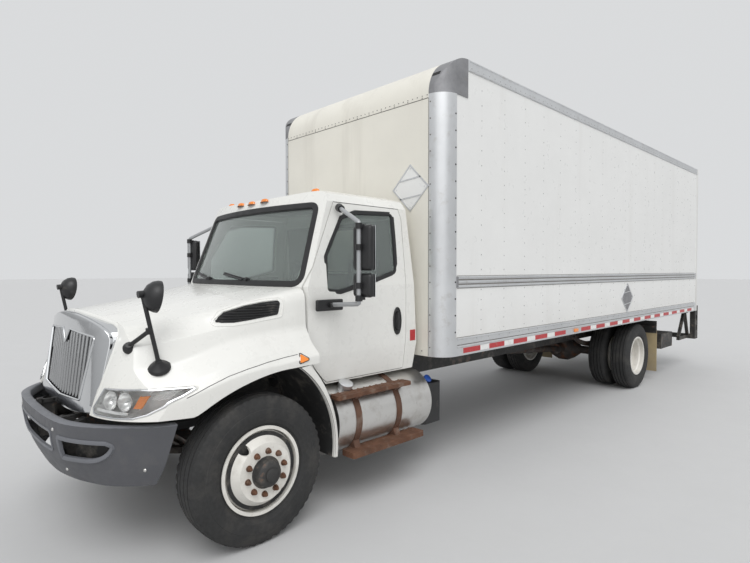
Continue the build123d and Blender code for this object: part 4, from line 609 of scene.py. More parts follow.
def sheet(shape, outer, holes, spacing, where):
    """Fills a 2D outline less its holes with triangles and maps each (a, b) through where()."""
    points = []
    edges = []
    for loop in [outer] + holes:
        first = len(points)
        points.extend(loop)
        edges.extend([(first + i, first + (i + 1) % len(loop)) for i in range(len(loop))])
    rim = len(points)
    low = [min(p[k] for p in outer) for k in (0, 1)]
    high = [max(p[k] for p in outer) for k in (0, 1)]
    across = max(1, round((high[0] - low[0]) / spacing))
    tall = max(1, round((high[1] - low[1]) / spacing))
    for i in range(1, across):
        for j in range(1, tall):
            spot = (low[0] + (high[0] - low[0]) * i / across, low[1] + (high[1] - low[1]) * j / tall)
            if inside(outer, spot) and not any(inside(h, spot) for h in holes):
                if min((Vector(spot) - Vector(p)).length for p in points[:rim]) > spacing / 3:
                    points.append(spot)
    flat_verts, _, faces, _, _, _ = delaunay_2d_cdt([Vector(p) for p in points], edges, [], 0, 0.01)
    kept = []
    for face in faces:
        middle = sum((flat_verts[i] for i in face), Vector((0, 0))) / len(face)
        if inside(outer, tuple(middle)) and not any(inside(h, tuple(middle)) for h in holes):
            kept.append(tuple(face))
    shape.add([where(v.x, v.y) for v in flat_verts], kept)


def inside(outline, point):
    """Whether a 2D point lies inside an outline."""
    x, y = point
    hits = 0
    for (x0, y0), (x1, y1) in zip(outline, list(outline[1:]) + list(outline[:1])):
        if (y0 > y) != (y1 > y) and x < x0 + (y - y0) / (y1 - y0) * (x1 - x0):
            hits += 1
    return hits % 2 == 1


def circle_of(three):
    (ax, ay), (bx, by), (cx, cy) = three
    d = 2 * (ax * (by - cy) + bx * (cy - ay) + cx * (ay - by))
    a, b, c = ax * ax + ay * ay, bx * bx + by * by, cx * cx + cy * cy
    ux = (a * (by - cy) + b * (cy - ay) + c * (ay - by)) / d
    uy = (a * (cx - bx) + b * (ax - cx) + c * (bx - ax)) / d
    return ux, uy, math.hypot(ax - ux, ay - uy)


def arc_points(three, steps=20):
    """Points of the circle through three 2D points, from the first to the last."""
    ux, uy, radius = circle_of(three)
    first = math.atan2(three[0][1] - uy, three[0][0] - ux)
    last = math.atan2(three[2][1] - uy, three[2][0] - ux)
    return [(ux + radius * math.cos(first + (last - first) * k / steps),
             uy + radius * math.sin(first + (last - first) * k / steps)) for k in range(steps + 1)]


def apply_all(thing):
    """Turns a piece's modifiers into its mesh."""
    graph = bpy.context.evaluated_depsgraph_get()
    mesh = bpy.data.meshes.new_from_object(thing.evaluated_get(graph))
    thing.modifiers.clear()
    thing.data = mesh


def skin(shape, name, material, body, thickness, outward, cutters=(), bevel=0.0, bevel_angle=25, smooth=40,
         segments=3):
    """A sheet given thickness on its inner side, with openings cut through it."""
    thing = linked(name, shape, material, 0.0008, outward)
    tools = []
    for k, cutter in enumerate(cutters):
        tool = linked(f"{name}_cut_{k}", cutter)
        hole = thing.modifiers.new(f"Cut {k}", "BOOLEAN")
        hole.operation = "DIFFERENCE"
        hole.solver = "FLOAT" if "FLOAT" in hole.bl_rna.properties["solver"].enum_items.keys() else "FAST"
        hole.object = tool
        tools.append(tool)
    if bevel:
        soft = thing.modifiers.new("Bevel", "BEVEL")
        soft.width = bevel
        soft.segments = segments
        soft.limit_method = "ANGLE"
        soft.angle_limit = math.radians(bevel_angle)
    thick = thing.modifiers.new("Solidify", "SOLIDIFY")
    thick.thickness = thickness
    thick.offset = -1
    apply_all(thing)
    for tool in tools:
        bpy.data.objects.remove(tool)
    shade(thing, smooth)
    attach(thing, body)
    return thing


# Hood: a smooth skin through its cross sections, trimmed by the raked front, the cowl and the arches

# columns: station, crown z, ridge, shoulder, crease, waist and flare (x and z each), edge x
hood_rows = (
    (-1060, 1552, 380, 1530, 590, 1490, 715, 1352, 760, 1280, 890, 1130, 950),
    (-600, 1612, 440, 1584, 730, 1520, 895, 1412, 955, 1270, 1068, 1150, 1120),
    (-150, 1678, 500, 1657, 905, 1604, 978, 1483, 1000, 1390, 1130, 1270, 1185),
    (200, 1730, 560, 1716, 960, 1680, 1000, 1508, 1008, 1425, 1130, 1300, 1185),
    (468, 1762, 620, 1754, 1000, 1737, 1010, 1526, 1012, 1440, 1090, 1330, 1180),
)
hood_radii = (160, 100, 10, 90, 60, 36)
cowl, cowl_bow = 468.0, 3300
front_nose = circle_of(((-600, -922), (0, -1055), (600, -922)))
front_corner = circle_of(((600, -922), (945, -822), (1186, -480)))
front_rake = 0.36
shell_half = 650
arch_line = arc_points(((-412, 999), (-130, 1128), (224, 1182)), 24)


def front_station(x, z):
    """Station of the hood's raked, curved front."""
    cx, cy, r = front_nose if abs(x) <= 600 else front_corner
    return cy - math.sqrt(max(0.0, r * r - (abs(x) - cx) ** 2)) + front_rake * (z - 990)


def along(points, value):
    """Straight interpolation in a run of (key, value) points."""
    for (a, p), (b, q) in zip(points, points[1:]):
        if value <= b:
            return p + (q - p) * max(0.0, value - a) / (b - a)
    return points[-1][1]


hood_low = [(-1300, 984), (-470, 968)] + arch_line + [(391, 1187), (700, 1190)]


def hood_section(station):
    """Right half of the hood's cross section, from the crown down to its lower edge."""
    i = max(k for k in range(len(hood_rows) - 1) if k == 0 or station >= hood_rows[k][0])
    a, b = hood_rows[i], hood_rows[i + 1]
    before = hood_rows[i - 1] if i else a
    after = hood_rows[i + 2] if i + 2 < len(hood_rows) else b
    t = (station - a[0]) / (b[0] - a[0])
    row = []
    for k in range(1, len(a)):
        slope_a = (b[k] - before[k]) / (b[0] - before[0]) * (b[0] - a[0])
        slope_b = (after[k] - a[k]) / (after[0] - a[0]) * (b[0] - a[0])
        row.append((2 * t ** 3 - 3 * t * t + 1) * a[k] + (t ** 3 - 2 * t * t + t) * slope_a
                   + (3 * t * t - 2 * t ** 3) * b[k] + (t ** 3 - t * t) * slope_b)
    crown, ridge_x, ridge_z = row[0], row[1], row[2]
    corners = [Vector((row[k], row[k + 1])) for k in (1, 3, 5, 7, 9)] + [Vector((row[11], row[10] - 75))]
    points = [Vector((ridge_x * k / 8, crown - (crown - ridge_z) * (k / 8) ** 2)) for k in range(7)]
    last = Vector((row[11], along(hood_low, station)))
    ends = [points[-1]] + corners + [last]
    start = points[-1]
    for back, here, ahead, radius in zip(ends, corners, ends[2:], hood_radii):
        u, v = (back - here).normalized(), (ahead - here).normalized()
        half = u.angle(v) / 2
        reach = min(radius / math.tan(half), (ahead - here).length * 0.48, (back - here).length * 0.48)
        first, final = here + u * reach, here + v * reach
        points += [start.lerp(first, 1 / 3), start.lerp(first, 2 / 3)]
        for k in range(5):
            s = k / 4
            points.append(first * (1 - s) ** 2 + here * 2 * s * (1 - s) + final * s * s)
        start = final
    points += [start.lerp(last, 0.5), last]
    return points


def hood_skin():
    columns = len(hood_section(0))
    rows = 46
    shape = Shape()
    grid = []
    for j in range(columns):
        low, high = -1060.0, 100.0
        for _ in range(22):
            middle = (low + high) / 2
            x, z = hood_section(middle)[j]
            low, high = (middle, high) if middle < front_station(x, z) else (low, middle)
        x = hood_section(cowl)[j].x
        rear = min(cowl, 325 + cowl_bow - math.sqrt(cowl_bow ** 2 - x * x))
        stations = [low + (rear - low) * k / rows for k in range(rows + 1)]
        grid.append([(s, *hood_section(s)[j]) for s in stations])
    shape.grid([[place(x, s, z) for s, x, z in column] for column in grid])
    edge = [(column[0][1], column[0][2]) for column in grid]
    outer = [p for p in edge if p[0] > shell_half]
    top = [p for p in edge if p[0] <= shell_half][-1]
    bottom = outer[-1]
    count = 12
    foot = [(bottom[0] + (shell_half - bottom[0]) * k / count, bottom[1]) for k in range(1, count + 1)]
    inner = [(shell_half + (top[0] - shell_half) * k / count, bottom[1] + (top[1] - bottom[1]) * k / count)
             for k in range(1, count)]
    sheet(shape, [top] + outer + foot + inner, [], 45, lambda x, z: place(x, front_station(x, z), z))
    shape.mirrored()
    trees["hood"] = BVHTree.FromPolygons(shape.verts, shape.faces)
    cutters = []
    for sign in (-1, 1):
        lamp = Shape()
        lamp.prism([place(sign * x, -1300, z) for x, z in rounded(lamp_outline, 10)], Vector((0, 0.85, 0)))
        vent = Shape()
        vent.prism([place(sign * 860, s, z) for s, z in rounded(vent_mouth, 9)], Vector((sign * 0.3, 0, 0)))
        cutters += [lamp, vent]
    thing = skin(shape, "hood_skin", cab_paint, "hood_assembly", 0.010, Vector((0, -0.2, 1)), cutters,
                 bevel=0.030, bevel_angle=22, smooth=38, segments=4)
    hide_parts("hood")


lamp_outline = ((676, 1018), (702, 994), (738, 988), (900, 986), (990, 990), (1050, 1012), (1100, 1056),
                (1122, 1103), (1128, 1147), (978, 1151), (728, 1136))
vent_mouth = ((-243, 1519), (-157, 1579), (-4, 1617), (131, 1638), (246, 1648), (257, 1634), (229, 1553),
              (22, 1528), (-108, 1515))


def headlight(side, sign):
    """Clear lens over a bright bucket with two bowls, an amber block and a chrome rim."""
    outline = dense(rounded(lamp_outline, 10), 26)
    middle = Vector((890, 1070))
    lens, bucket = shapes(2)
    rings = []
    spots, _ = draped(["hood"], outline, "front")
    for scale, bulge in ((1.0, 0.001), (0.97, 0.005), (0.85, 0.008), (0.6, 0.010), (0.3, 0.011),
                         (0.05, 0.011)):
        ring = [tuple(middle + (Vector(p) - middle) * scale) for p in outline]
        found, facing = draped(["hood"], ring, "front")
        rings.append([p + n * bulge for p, n in zip(found, facing)])
    lens.grid(rings, False, True, (-1,))
    walls = []
    centre = place(890, -742, 1066)
    for scale, depth in ((1.0, 0.002), (0.97, 0.012), (0.93, 0.05), (0.80, 0.075), (0.5, 0.085),
                         (0.02, 0.088)):
        walls.append([centre.lerp(p, scale) + Vector((0, depth, 0)) for p in spots])
    bucket.grid(walls, False, True)
    face = Vector((0.28, -1, 0.05)).normalized()
    for x, s, z, radius in ((790, -830, 1068, 0.056), (900, -790, 1072, 0.054)):
        bucket.lathe([(0.0, radius), (0.004, radius + 0.004), (0.004, radius), (-0.018, radius * 0.86),
                      (-0.040, radius * 0.55), (-0.050, radius * 0.2), (-0.050, 0.0006)], place(x, s, z),
                     face, 36)
        bucket.lathe([(-0.05, 0.009), (-0.014, 0.009), (-0.008, 0.006), (-0.006, 0.0006)], place(x, s, z),
                     face, 16)
    amber = Shape()
    block = [(966, -772, 1040), (1008, -742, 1042), (1026, -700, 1114), (981, -738, 1112)]
    amber.prism([place(*p) for p in block], Vector((-0.008, 0.016, 0)))
    rim = Shape()
    rim_loop(rim, ["hood"], dense(rounded(lamp_outline, 10), 20), "front", 0.016, 0.006, 0.004)
    shroud = Shape()
    strip = [(716, 1008), (950, 1002), (948, 1018), (716, 1024)]
    found, _ = draped(["hood"], dense(strip, 40), "front")
    shroud.prism([p + Vector((0, 0.014, 0)) for p in found], Vector((0, 0.006, 0)))
    parts = ((lens, "lens", lens_clear, 40, 0), (bucket, "bucket", bowl_chrome, 40, 0),
             (amber, "amber", lens_amber, 30, 0.002),
             (rim, "rim", chrome, 60, 0), (shroud, "shroud", bowl_chrome, 30, 0.001))
    for shape, word, material, smooth, bevel in parts:
        shape.onto(sign)
        thing = shape.piece(f"headlight_{word}_{side}", material, "hood_assembly", smooth=smooth,
                            bevel=bevel)
        if word == "lens" and sign > 0:
            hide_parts("headlights")


# Grille: an upright chrome shell, bowed in plan, with the opening's notched top and upright bars

grille_opening = ((-440, 1026), (0, 998), (440, 1026), (528, 1428), (505, 1440), (84, 1462), (0, 1362),
                  (-84, 1462), (-505, 1440), (-528, 1428))
upright = Vector((0, -1, 0.1))


def shell_station(x, z):
    centre = -954 + 0.1053 * (z - 880)
    corner = -948 + 0.1697 * (z - 880)
    side = -919 + 0.221 * (z - 880)
    x = abs(x)
    if x <= 560:
        return centre + (corner - centre) * (x / 560) ** 2
    t = (x - 560) / 90
    return corner + (side - corner) * (0.45 * t + 0.55 * t * t)


def on_shell(x, z, deep=0):
    return place(x, shell_station(x, z) + deep, z)


def shell_outline(grow=0):
    top = [(x, 1574 - 70 * (x / 595) ** 2 + grow) for x in range(-560, 561, 40)]
    left = [(-604, 1488), (-630, 1464), (-646, 1428), (-shell_half, 1390)]
    bottom = [(x, 924 + 59 * (x / shell_half) ** 2 - grow)
              for x in range(-shell_half, shell_half + 1, 50)]
    right = [(-x, z) for x, z in reversed(left)]
    ring = bottom + right + list(reversed(top)) + left
    if grow:
        ring = [(x + grow * (1 if x > 600 else -1 if x < -600 else 0), z) for x, z in ring]
    return ring


def grille():
    face = Shape()
    outer = dense(shell_outline(), 46)
    hole = dense(grille_opening, 46)
    sheet(face, outer, [hole], 46, on_shell)
    rings = []
    for step in range(4):
        ring = []
        for x, z in outer:
            face_s = shell_station(x, z)
            back = max(face_s + 30, front_station(x, z) + 70) if z > 1100 or abs(x) > 640 else face_s + 60
            ring.append(place(x, face_s + (back - face_s) * step / 3, z))
        rings.append(ring)
    face.grid(rings, False, True)
    thing = skin(face, "grille_shell", chrome, "hood_assembly", 0.008, -REARWARD, bevel=0.022,
                 bevel_angle=35, smooth=50,
                 segments=5)
    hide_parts("grille")
    wrap = Shape()
    loops = []
    for grow, front in ((5, True), (5, False), (-2, False), (-2, True)):
        loop = []
        for x, z in dense(shell_outline(grow), 30):
            face_s = shell_station(min(abs(x), shell_half), z)
            deep = max(62, front_station(x, z) + 60 - face_s) if z > 1100 else 58
            loop.append(place(x, face_s + (20 if front else deep), z))
        loops.append(loop)
    count = min(len(loop) for loop in loops)
    wrap.grid([loop[:count] for loop in loops], True, True)
    wrap.piece("grille_shell_return", chrome, "hood_assembly", smooth=50)
    rim = Shape()
    spots = [on_shell(x, z, -1) for x, z in dense(rounded(grille_opening, 8), 40)]
    rim.sweep(spots, bead(0.007, 0.004, 0.005, 0.004, 0.007), True, upright)
    rim.piece("grille_opening_rim", chrome, "hood_assembly", smooth=60)
    bars = Shape()
    for k in range(-8, 9):
        x = 62 * k
        levels = [z for z in range(980, 1500, 4) if inside(grille_opening, (x, z))]
        low, high = levels[0] - 12, levels[-1] + 14
        heights = [low + (high - low) * i / 8 for i in range(9)]
        path = [on_shell(x, z, 24) for z in heights]
        bars.sweep(path, [(-0.010, -0.010), (-0.010, 0.003), (-0.006, 0.010), (0.0, 0.0125), (0.006, 0.010),
                          (0.010, 0.003), (0.010, -0.010)], normals=upright)
    bars.piece("grille_bars", bar_chrome, "hood_assembly", smooth=50)
    mesh_back = Shape()
    for k in range(-12, 13):
        for half in (-1, 1):
            x = 42 * k + 21 * (half > 0)
            if abs(x) < 505:
                path = [on_shell(x, z, 52) for z in (1030, 1230, 1424)]
                mesh_back.sweep(path, flat_bar(0.002, -0.002, 0.002), normals=upright)
    for z in range(1040, 1430, 26):
        path = [on_shell(x, z, 54) for x in range(-500, 501, 100)]
        mesh_back.sweep(path, flat_bar(0.0015, -0.0015, 0.0015), normals=upright)
    mesh_back.piece("grille_screen", black_plastic, "hood_assembly")


# Front bumper: bowed moulding with three openings and their rims, and a rolled top ledge

# shares of the half width, then per row: z, end x and the stations at those shares
bumper_shares = (0, 0.25, 0.5, 0.65, 0.78, 0.89, 0.96, 1)
bumper_rows = ((520, 908, (-1010, -1000, -954, -903, -844, -757, -680, -622)),
               (640, 985, (-1066, -1058, -1018, -958, -874, -766, -674, -600)),
               (740, 1030, (-1094, -1087, -1053, -988, -888, -768, -668, -588)),
               (932, 1110, (-1110, -1104, -1074, -1008, -904, -776, -664, -566)))
bumper_levels = [row[0] for row in bumper_rows]
bumper_foot, bumper_top = bumper_levels[0], bumper_levels[-1]


def smooth_along(keys, values, at):
    """Smooth interpolation through points."""
    i = max(k for k in range(len(keys) - 1) if k == 0 or at >= keys[k])
    slopes = []
    for k in (i, i + 1):
        a, b = max(0, k - 1), min(len(keys) - 1, k + 1)
        slopes.append((values[b] - values[a]) / (keys[b] - keys[a]))
    width = keys[i + 1] - keys[i]
    t = min(1.0, max(0.0, (at - keys[i]) / width))
    return ((2 * t ** 3 - 3 * t * t + 1) * values[i] + (t ** 3 - 2 * t * t + t) * slopes[0] * width
            + (3 * t * t - 2 * t ** 3) * values[i + 1] + (t ** 3 - t * t) * slopes[1] * width)


def bumper_end(z):
    return smooth_along(bumper_levels, [r[1] for r in bumper_rows], min(max(z, bumper_foot), bumper_top))


def bumper_station(x, z, inset=0.0):
    share = min(1.0, abs(x) / (bumper_end(z) - inset))
    level = min(max(z, bumper_foot), bumper_top)
    found = [smooth_along(bumper_shares, r[2], share) for r in bumper_rows]
    return smooth_along(bumper_levels, found, level) + inset * (1 - share ** 4)


def on_bumper(x, z):
    return place(x, bumper_station(x, z), z)


def bumper():
    shape = Shape()
    levels = [520, 526, 560, 610, 660, 710, 760, 810, 860, 905, 926, 932]
    ends = [(bumper_end(z), z) for z in levels]
    count = 34
    bottom = [(-ends[0][0] + 2 * ends[0][0] * k / count, bumper_foot) for k in range(1, count)]
    top = [(ends[-1][0] - 2 * ends[-1][0] * k / count, bumper_top) for k in range(1, count)]
    outer = [(-ends[0][0], bumper_foot)] + bottom + ends + top + [(-x, z) for x, z in reversed(ends[1:])]
    centre_hole = dense(rounded([(-404, 722), (404, 722), (404, 852), (-404, 852)], 26), 40)
    nose = arc_points(((856, 796), (796, 732), (690, 703)), 8)
    half_moon = dense(rounded([(512, 836), (838, 830), (858, 814)] + nose + [(512, 701)], 9, 3), 30)
    holes = [centre_hole, half_moon, [(-x, z) for x, z in reversed(half_moon)]]
    sheet(shape, outer, holes, 34, on_bumper)
    ledge = []
    count = 60
    for inset, z in ((0, 932), (14, 938), (34, 940), (52, 938), (60, 930), (62, 880)):
        reach = bumper_end(bumper_top) - inset
        ledge.append([place(x, bumper_station(x, bumper_top, inset), z)
                      for x in [-reach + 2 * reach * k / count for k in range(count + 1)]])
    rim = Shape()
    rim.grid(ledge)
    thing = skin(shape, "bumper_skin", bumper_plastic, "chassis", 0.007, -REARWARD)
    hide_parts("front_bumper")
    skin(rim, "bumper_ledge", ledge_plastic, "chassis", 0.005, UPWARD, smooth=60)
    rims = Shape()
    for loop, width, rise in ((centre_hole, 0.020, 0.007), (half_moon, 0.030, 0.010),
                              (holes[2], 0.030, 0.010)):
        spots = [on_bumper(x, z) for x, z in loop]
        rims.sweep(spots, bead(width / 2, 0.012, width / 2.4, rise * 0.7, rise), True,
                   [Vector((p.x * 0.35, -1, 0)).normalized() for p in spots])
    rims.piece("bumper_rims", ledge_plastic, smooth=60)
    screws = Shape()
    for x, z in ((-452, 872), (-452, 600), (452, 872), (452, 600), (-930, 640), (930, 640)):
        screws.dome(on_bumper(x, z), Vector((x / 1600, -1, 0)).normalized(), 0.012, 0.007, 12)
    screws.piece("bumper_screws", tank_metal, smooth=50)
    # Dark plates just behind the two side openings: painted shade seen through them.
    back = Shape()
    for x0, x1 in ((-900, -520), (520, 900)):
        run = [x0 + (x1 - x0) * k / 6 for k in range(7)]
        path = [place(x, bumper_station(x, 700) + 70, 760) for x in run]
        back.sweep(path, flat_bar(0.09, -0.003, 0.003), normals=-REARWARD)
    back.piece("bumper_opening_shade", dull_black)


def hood_lip():
    """Turned edge of the hood round the chrome shell."""
    side = [(657, z) for z in range(1080, 1390, 30)] + [(657, 1396), (652, 1434), (636, 1472), (609, 1499),
                                                        (566, 1524)]
    top = [(x, 1582 - 70 * (x / 595) ** 2) for x in range(540, -1, -30)]
    half = side + top
    path = half + [(-x, z) for x, z in reversed(half[:-1])]
    for _ in range(2):
        path = [path[0]] + [((a[0] + 2 * b[0] + c[0]) / 4, (a[1] + 2 * b[1] + c[1]) / 4)
                            for a, b, c in zip(path, path[1:], path[2:])] + [path[-1]]
    lip = Shape()
    spots = [place(x, front_station(x, z) + 4, z) for x, z in path]
    lip.sweep(spots, [(-0.015, -0.070), (-0.015, 0.002), (-0.010, 0.006), (0.010, 0.006), (0.015, 0.002),
                      (0.015, -0.070)], normals=Vector((0, -1, front_rake)))
    for sign in (-1, 1):
        corner = [(653, 1380), (653, 1484), (598, 1498), (603, 1487), (629, 1463), (645, 1428)]
        lip.prism([place(sign * x, front_station(x, z) + 3, z) for x, z in corner], Vector((0, 0.012, 0)))
    lip.piece("hood_lip", cab_paint, "hood_assembly", smooth=60)


hood_skin()
hood_lip()
for side, sign in SIDES:
    headlight(side, sign)
grille()
bumper()


# Hood: side vents, markers and the line over each arch

vent_frame = ((-292, 1500), (-190, 1590), (-10, 1640), (130, 1662), (262, 1674), (290, 1650), (262, 1534),
              (30, 1508), (-120, 1494))


def hood_trim():
    frames, mouth_shade, slats, markers, bezels, lines = shapes(6)
    outline = dense(rounded(vent_frame, 26), 30)
    rim_loop(frames, ["hood"], outline, "side", 0.014, 0.005)
    # Each vent's mouth is filled with a dark plate and edged with a dark rim bead: painted shade inside the
    # opening.
    spots, _ = draped(["hood"], dense(rounded(vent_mouth, 18), 30), "side")
    mouth_shade.prism([s + Vector((0.0015, 0, 0)) for s in spots], Vector((-0.006, 0, 0)))
    rim_loop(mouth_shade, ["hood"], dense(rounded(vent_mouth, 18), 30), "side", 0.008, 0.004)
    for k in range(7):
        low = 1524 + 17 * k
        ends = [s for s in range(-260, 280, 12) if inside(vent_mouth, (s, low))]
        if len(ends) < 3:
            continue
        spots, normals = draped(["hood"], [(s, low) for s in ends], "side")
        slats.sweep([p + n * 0.003 for p, n in zip(spots, normals)],
                    [(-0.003, -0.002), (-0.002, 0.005), (0.004, 0.002), (0.004, -0.002)], normals=normals)
    spots, _ = draped(["hood"], rounded([(286, 1210), (374, 1228), (312, 1272)], 8), "side")
    markers.prism([s - Vector((0.004, 0, 0)) for s in spots], Vector((0.016, 0, 0)))
    rim_loop(bezels, ["hood"], rounded([(279, 1204), (386, 1226), (309, 1280)], 10), "side", 0.007, 0.004)
    arch = [(-520, 1092), (-470, 1110), (-380, 1146), (-250, 1192), (-120, 1222), (30, 1246), (180, 1262),
            (290, 1270)]
    spots, normals = draped(["hood"], dense(arch, 40, False), "side")
    lines.sweep(spots, flat_bar(0.002, -0.001, 0.0012), normals=normals)
    frames.mirrored().piece("vent_frames", cab_paint, "hood_assembly", smooth=60)
    mouth_shade.mirrored().piece("vent_mouth_shade", dull_black, "hood_assembly")
    slats.mirrored().piece("vent_louvres", black_plastic, "hood_assembly")
    markers.mirrored().piece("fender_markers", lens_amber, "hood_assembly", bevel=0.004)
    bezels.mirrored().piece("marker_bezels", black_plastic, "hood_assembly")
    lines.mirrored().piece("arch_lines", gasket, "hood_assembly")


hood_trim()


# Windscreen and window rubbers, wipers, roof lamps, handles and reflectors

door_window = ((682, 1706), (682, 1985), (900, 2352), (1484, 2380), (1484, 1858), (1240, 1792), (815, 1696))


def rubbers():
    screen = Shape()
    outline = dense(rounded([(-932, 1766), (932, 1766), (855, 2403), (-855, 2403)], 66), 60)
    rim_loop(screen, ["cab_shell", "cab_glass"], outline, "front", 0.060, 0.007, 0.012)
    screen.piece("windscreen_rubber", gasket, smooth=60)
    back = Shape()
    outline = dense(rounded([(-424, 1846), (424, 1846), (424, 2304), (-424, 2304)], 62), 60)
    rim_loop(back, ["cab_shell", "cab_glass"], outline, "back", 0.03, 0.006, 0.008)
    back.piece("rear_window_rubber", gasket, smooth=60)
    for side, sign in SIDES:
        shape = Shape()
        outline = dense(rounded(door_window, 36), 40)
        rim_loop(shape, ["door_left", "door_glass_left"], outline, "side", 0.040, 0.006, 0.010, 12)
        shape.onto(sign)
        shape.piece(f"window_rubber_{side}", gasket, f"{side}_door", smooth=60)


def wipers():
    arms = Shape()
    for foot_x, tip_x in ((330, -60), (-330, -720)):
        path = []
        for k in range(7):
            x = foot_x + (tip_x - foot_x) * k / 6
            hit = surface(["cab_shell", "cab_glass"], place(x, -1500, 1790 + 9 * k), REARWARD)
            path.append(hit[0] + hit[1] * 0.020)
        arms.tube(path, 0.006, 8)
        blade = [p - Vector((0, 0.010, 0.012)) for p in path[1:]]
        arms.sweep(blade, flat_bar(0.004, -0.008, 0.008))
        arms.lathe([(-0.02, 0.001), (-0.02, 0.016), (0.016, 0.016), (0.020, 0.010), (0.020, 0.001)], path[0],
                   Vector((0, -0.9, 0.4)), 14)
    arms.piece("wipers", black_plastic)


roof_lamps = ((-705, 800), (-203, 622), (0, 614), (203, 622), (705, 800))


def roof_lights():
    lamps, bases = shapes(2)
    for x, s in roof_lamps:
        hit = surface(["cab_shell"], place(x, s, 3000), -UPWARD)
        spot = hit[0] - Vector((0, 0, 0.004))
        for shape, width, length, tall in ((bases, 0.060, 0.030, 0.010), (lamps, 0.052, 0.024, 0.034)):
            turns = [2 * math.pi * i / 20 for i in range(20)]
            rows = []
            for level, shrink in ((0.0, 1.0), (0.55, 0.94), (0.85, 0.78), (1.0, 0.5)):
                wide, deep = width * shrink, length * shrink
                rows.append([spot + Vector((wide * math.cos(turn), deep * math.sin(turn), tall * level))
                             for turn in turns])
            shape.grid(rows, False, True, (-1,))
    lamps.piece("roof_lamps", lens_amber, smooth=60)
    bases.piece("roof_lamp_bases", gasket, smooth=60)


def door_trim():
    for side, sign in SIDES:
        shape, plate = shapes(2)
        centre = (1478, 1420)
        oval = [(centre[0] + 46 * math.cos(t), centre[1] + 118 * math.sin(t))
                for t in [2 * math.pi * k / 32 for k in range(32)]]
        spots, _ = draped(["door_left"], oval, "side")
        plate.prism([p - Vector((0.003, 0, 0)) for p in spots], Vector((0.011, 0, 0)))
        rim_loop(plate, ["door_left"], oval, "side", 0.014, 0.012)
        grip = [place(*spot) for spot in ((1012, 1462, 1340), (1040, 1464, 1352), (1046, 1466, 1420),
                                          (1040, 1468, 1490), (1012, 1470, 1502))]
        shape.sweep(grip, raised_bar(0.014, -0.005, 0.010, 0.005),
                    normals=[Vector((1, 0, lean)) for lean in (0.6, 0.3, 0, -0.3, -0.6)])
        plate.add(shape.verts, shape.faces)
        plate.onto(sign)
        plate.piece(f"door_handle_{side}", black_plastic, f"{side}_door", bevel=0.002)
    red = Shape()
    red.slab(place(1006, 1650, 1225), place(1012, 1722, 1325))
    red.mirrored().piece("cab_reflectors", tape_red, bevel=0.001)


rubbers()
wipers()
roof_lights()
door_trim()


# White lips of the fender extensions

lip_front = ((300, 1176), (520, 932), (612, 454))
lip_back = ((384, 1183), (560, 932), (640, 454))


def fender_lips():
    shape = Shape()
    front = arc_points(lip_front)
    back = arc_points(lip_back)
    rings = []
    for (s0, z0), (s1, z1) in zip(front, back):
        rings.append([place(x, s, z) for x, s, z in (
            (1150, s0 - 3, z0), (1176, s0 - 4, z0), (1184, s0 + 4, z0), (1184, s1 - 4, z1), (1181, s1, z1),
            (1160, s1, z1), (1160, s1 - 6, z1), (1178, s1 - 7, z1), (1178, s0 + 7, z0), (1150, s0 + 3, z0))])
    shape.grid(rings, False, True, (0, -1))
    shape.mirrored().piece("fender_lips", cab_paint, smooth=40)


fender_lips()


# Van body: rivet rows, grooved rails, marking tape, seams, placard frames, slots, rear door and roof details

body_front = 1786
panel_x = 1288.0
rail_x = 1295.5
post_line = 1957
rail_end = 9620


def side_band(shape, first, last, low, high, x, deep=0.003):
    shape.slab(place(x - 2, first, low), place(x + deep * 1000, last, high))


def side_rivets():
    small, bolts = shapes(2)
    out = ACROSS
    for k in range(18):
        s = 2378 + 409 * k
        for n in range(5):
            small.dome(place(panel_x, s, 1292 + 98 * n), out, 0.007, 0.003)
        for n in range(13):
            small.dome(place(panel_x, s, 1880 + 144 * n), out, 0.007, 0.003)
        for z in (1722, 1804):
            small.dome(place(rail_x, s, z), out, 0.007, 0.003)
    for k in range(77):
        small.dome(place(rail_x, 2200 + 98 * k, 3772), out, 0.006, 0.003, 6)
        if k % 2:
            small.dome(place(rail_x, 2200 + 98 * k, 1218), out, 0.007, 0.003, 6)
    for n in range(14):
        bolts.dome(place(panel_x + 4, post_line, 1300 + 154 * n), out, 0.011, 0.006)
    small.mirrored().piece("side_rivets", rivet_metal, smooth=60)
    bolts.mirrored().piece("post_bolts", dull_black, smooth=60)


def rails():
    ribs, grooves, ends = shapes(3)
    for z, first in ((1720, 1985), (1763, 1985), (1806, 1985), (1158, 1985), (1232, 1985), (3750, 2160),
                     (3832, 2160)):
        path = [place(rail_x - 1, s, z) for s in [*range(first, rail_end, 450), rail_end]]
        ribs.sweep(path, bead(0.010, 0.002, 0.007, 0.004, 0.006), normals=ACROSS)
    # Dark bands on the rail faces, between and beside the ribs, are painted shade in the grooves; the thin
    # bands on the panel just above and below a rail mark its joints.
    for low, high, first in ((1736, 1748, 1992), (1778, 1790, 1992), (1172, 1180, 1985), (1244, 1248, 1985),
                             (1819, 1823, 1985), (1703, 1708, 1985)):
        x = panel_x if low in (1819, 1703, 1244) else rail_x - 1
        side_band(grooves, first, rail_end, low, high, x, 0.0015)
    ends.prism([place(rail_x - 4, 1966, 1712), place(rail_x + 6, 1970, 1716), place(rail_x + 6, 1998, 1716),
                place(rail_x - 4, 1998, 1712)], Vector((0, 0, 0.100)))
    ribs.mirrored().piece("rail_ribs", rail_metal, smooth=60)
    grooves.mirrored().piece("rail_grooves", groove_tone)
    ends.mirrored().piece("rub_rail_ends", cap_metal, bevel=0.003)


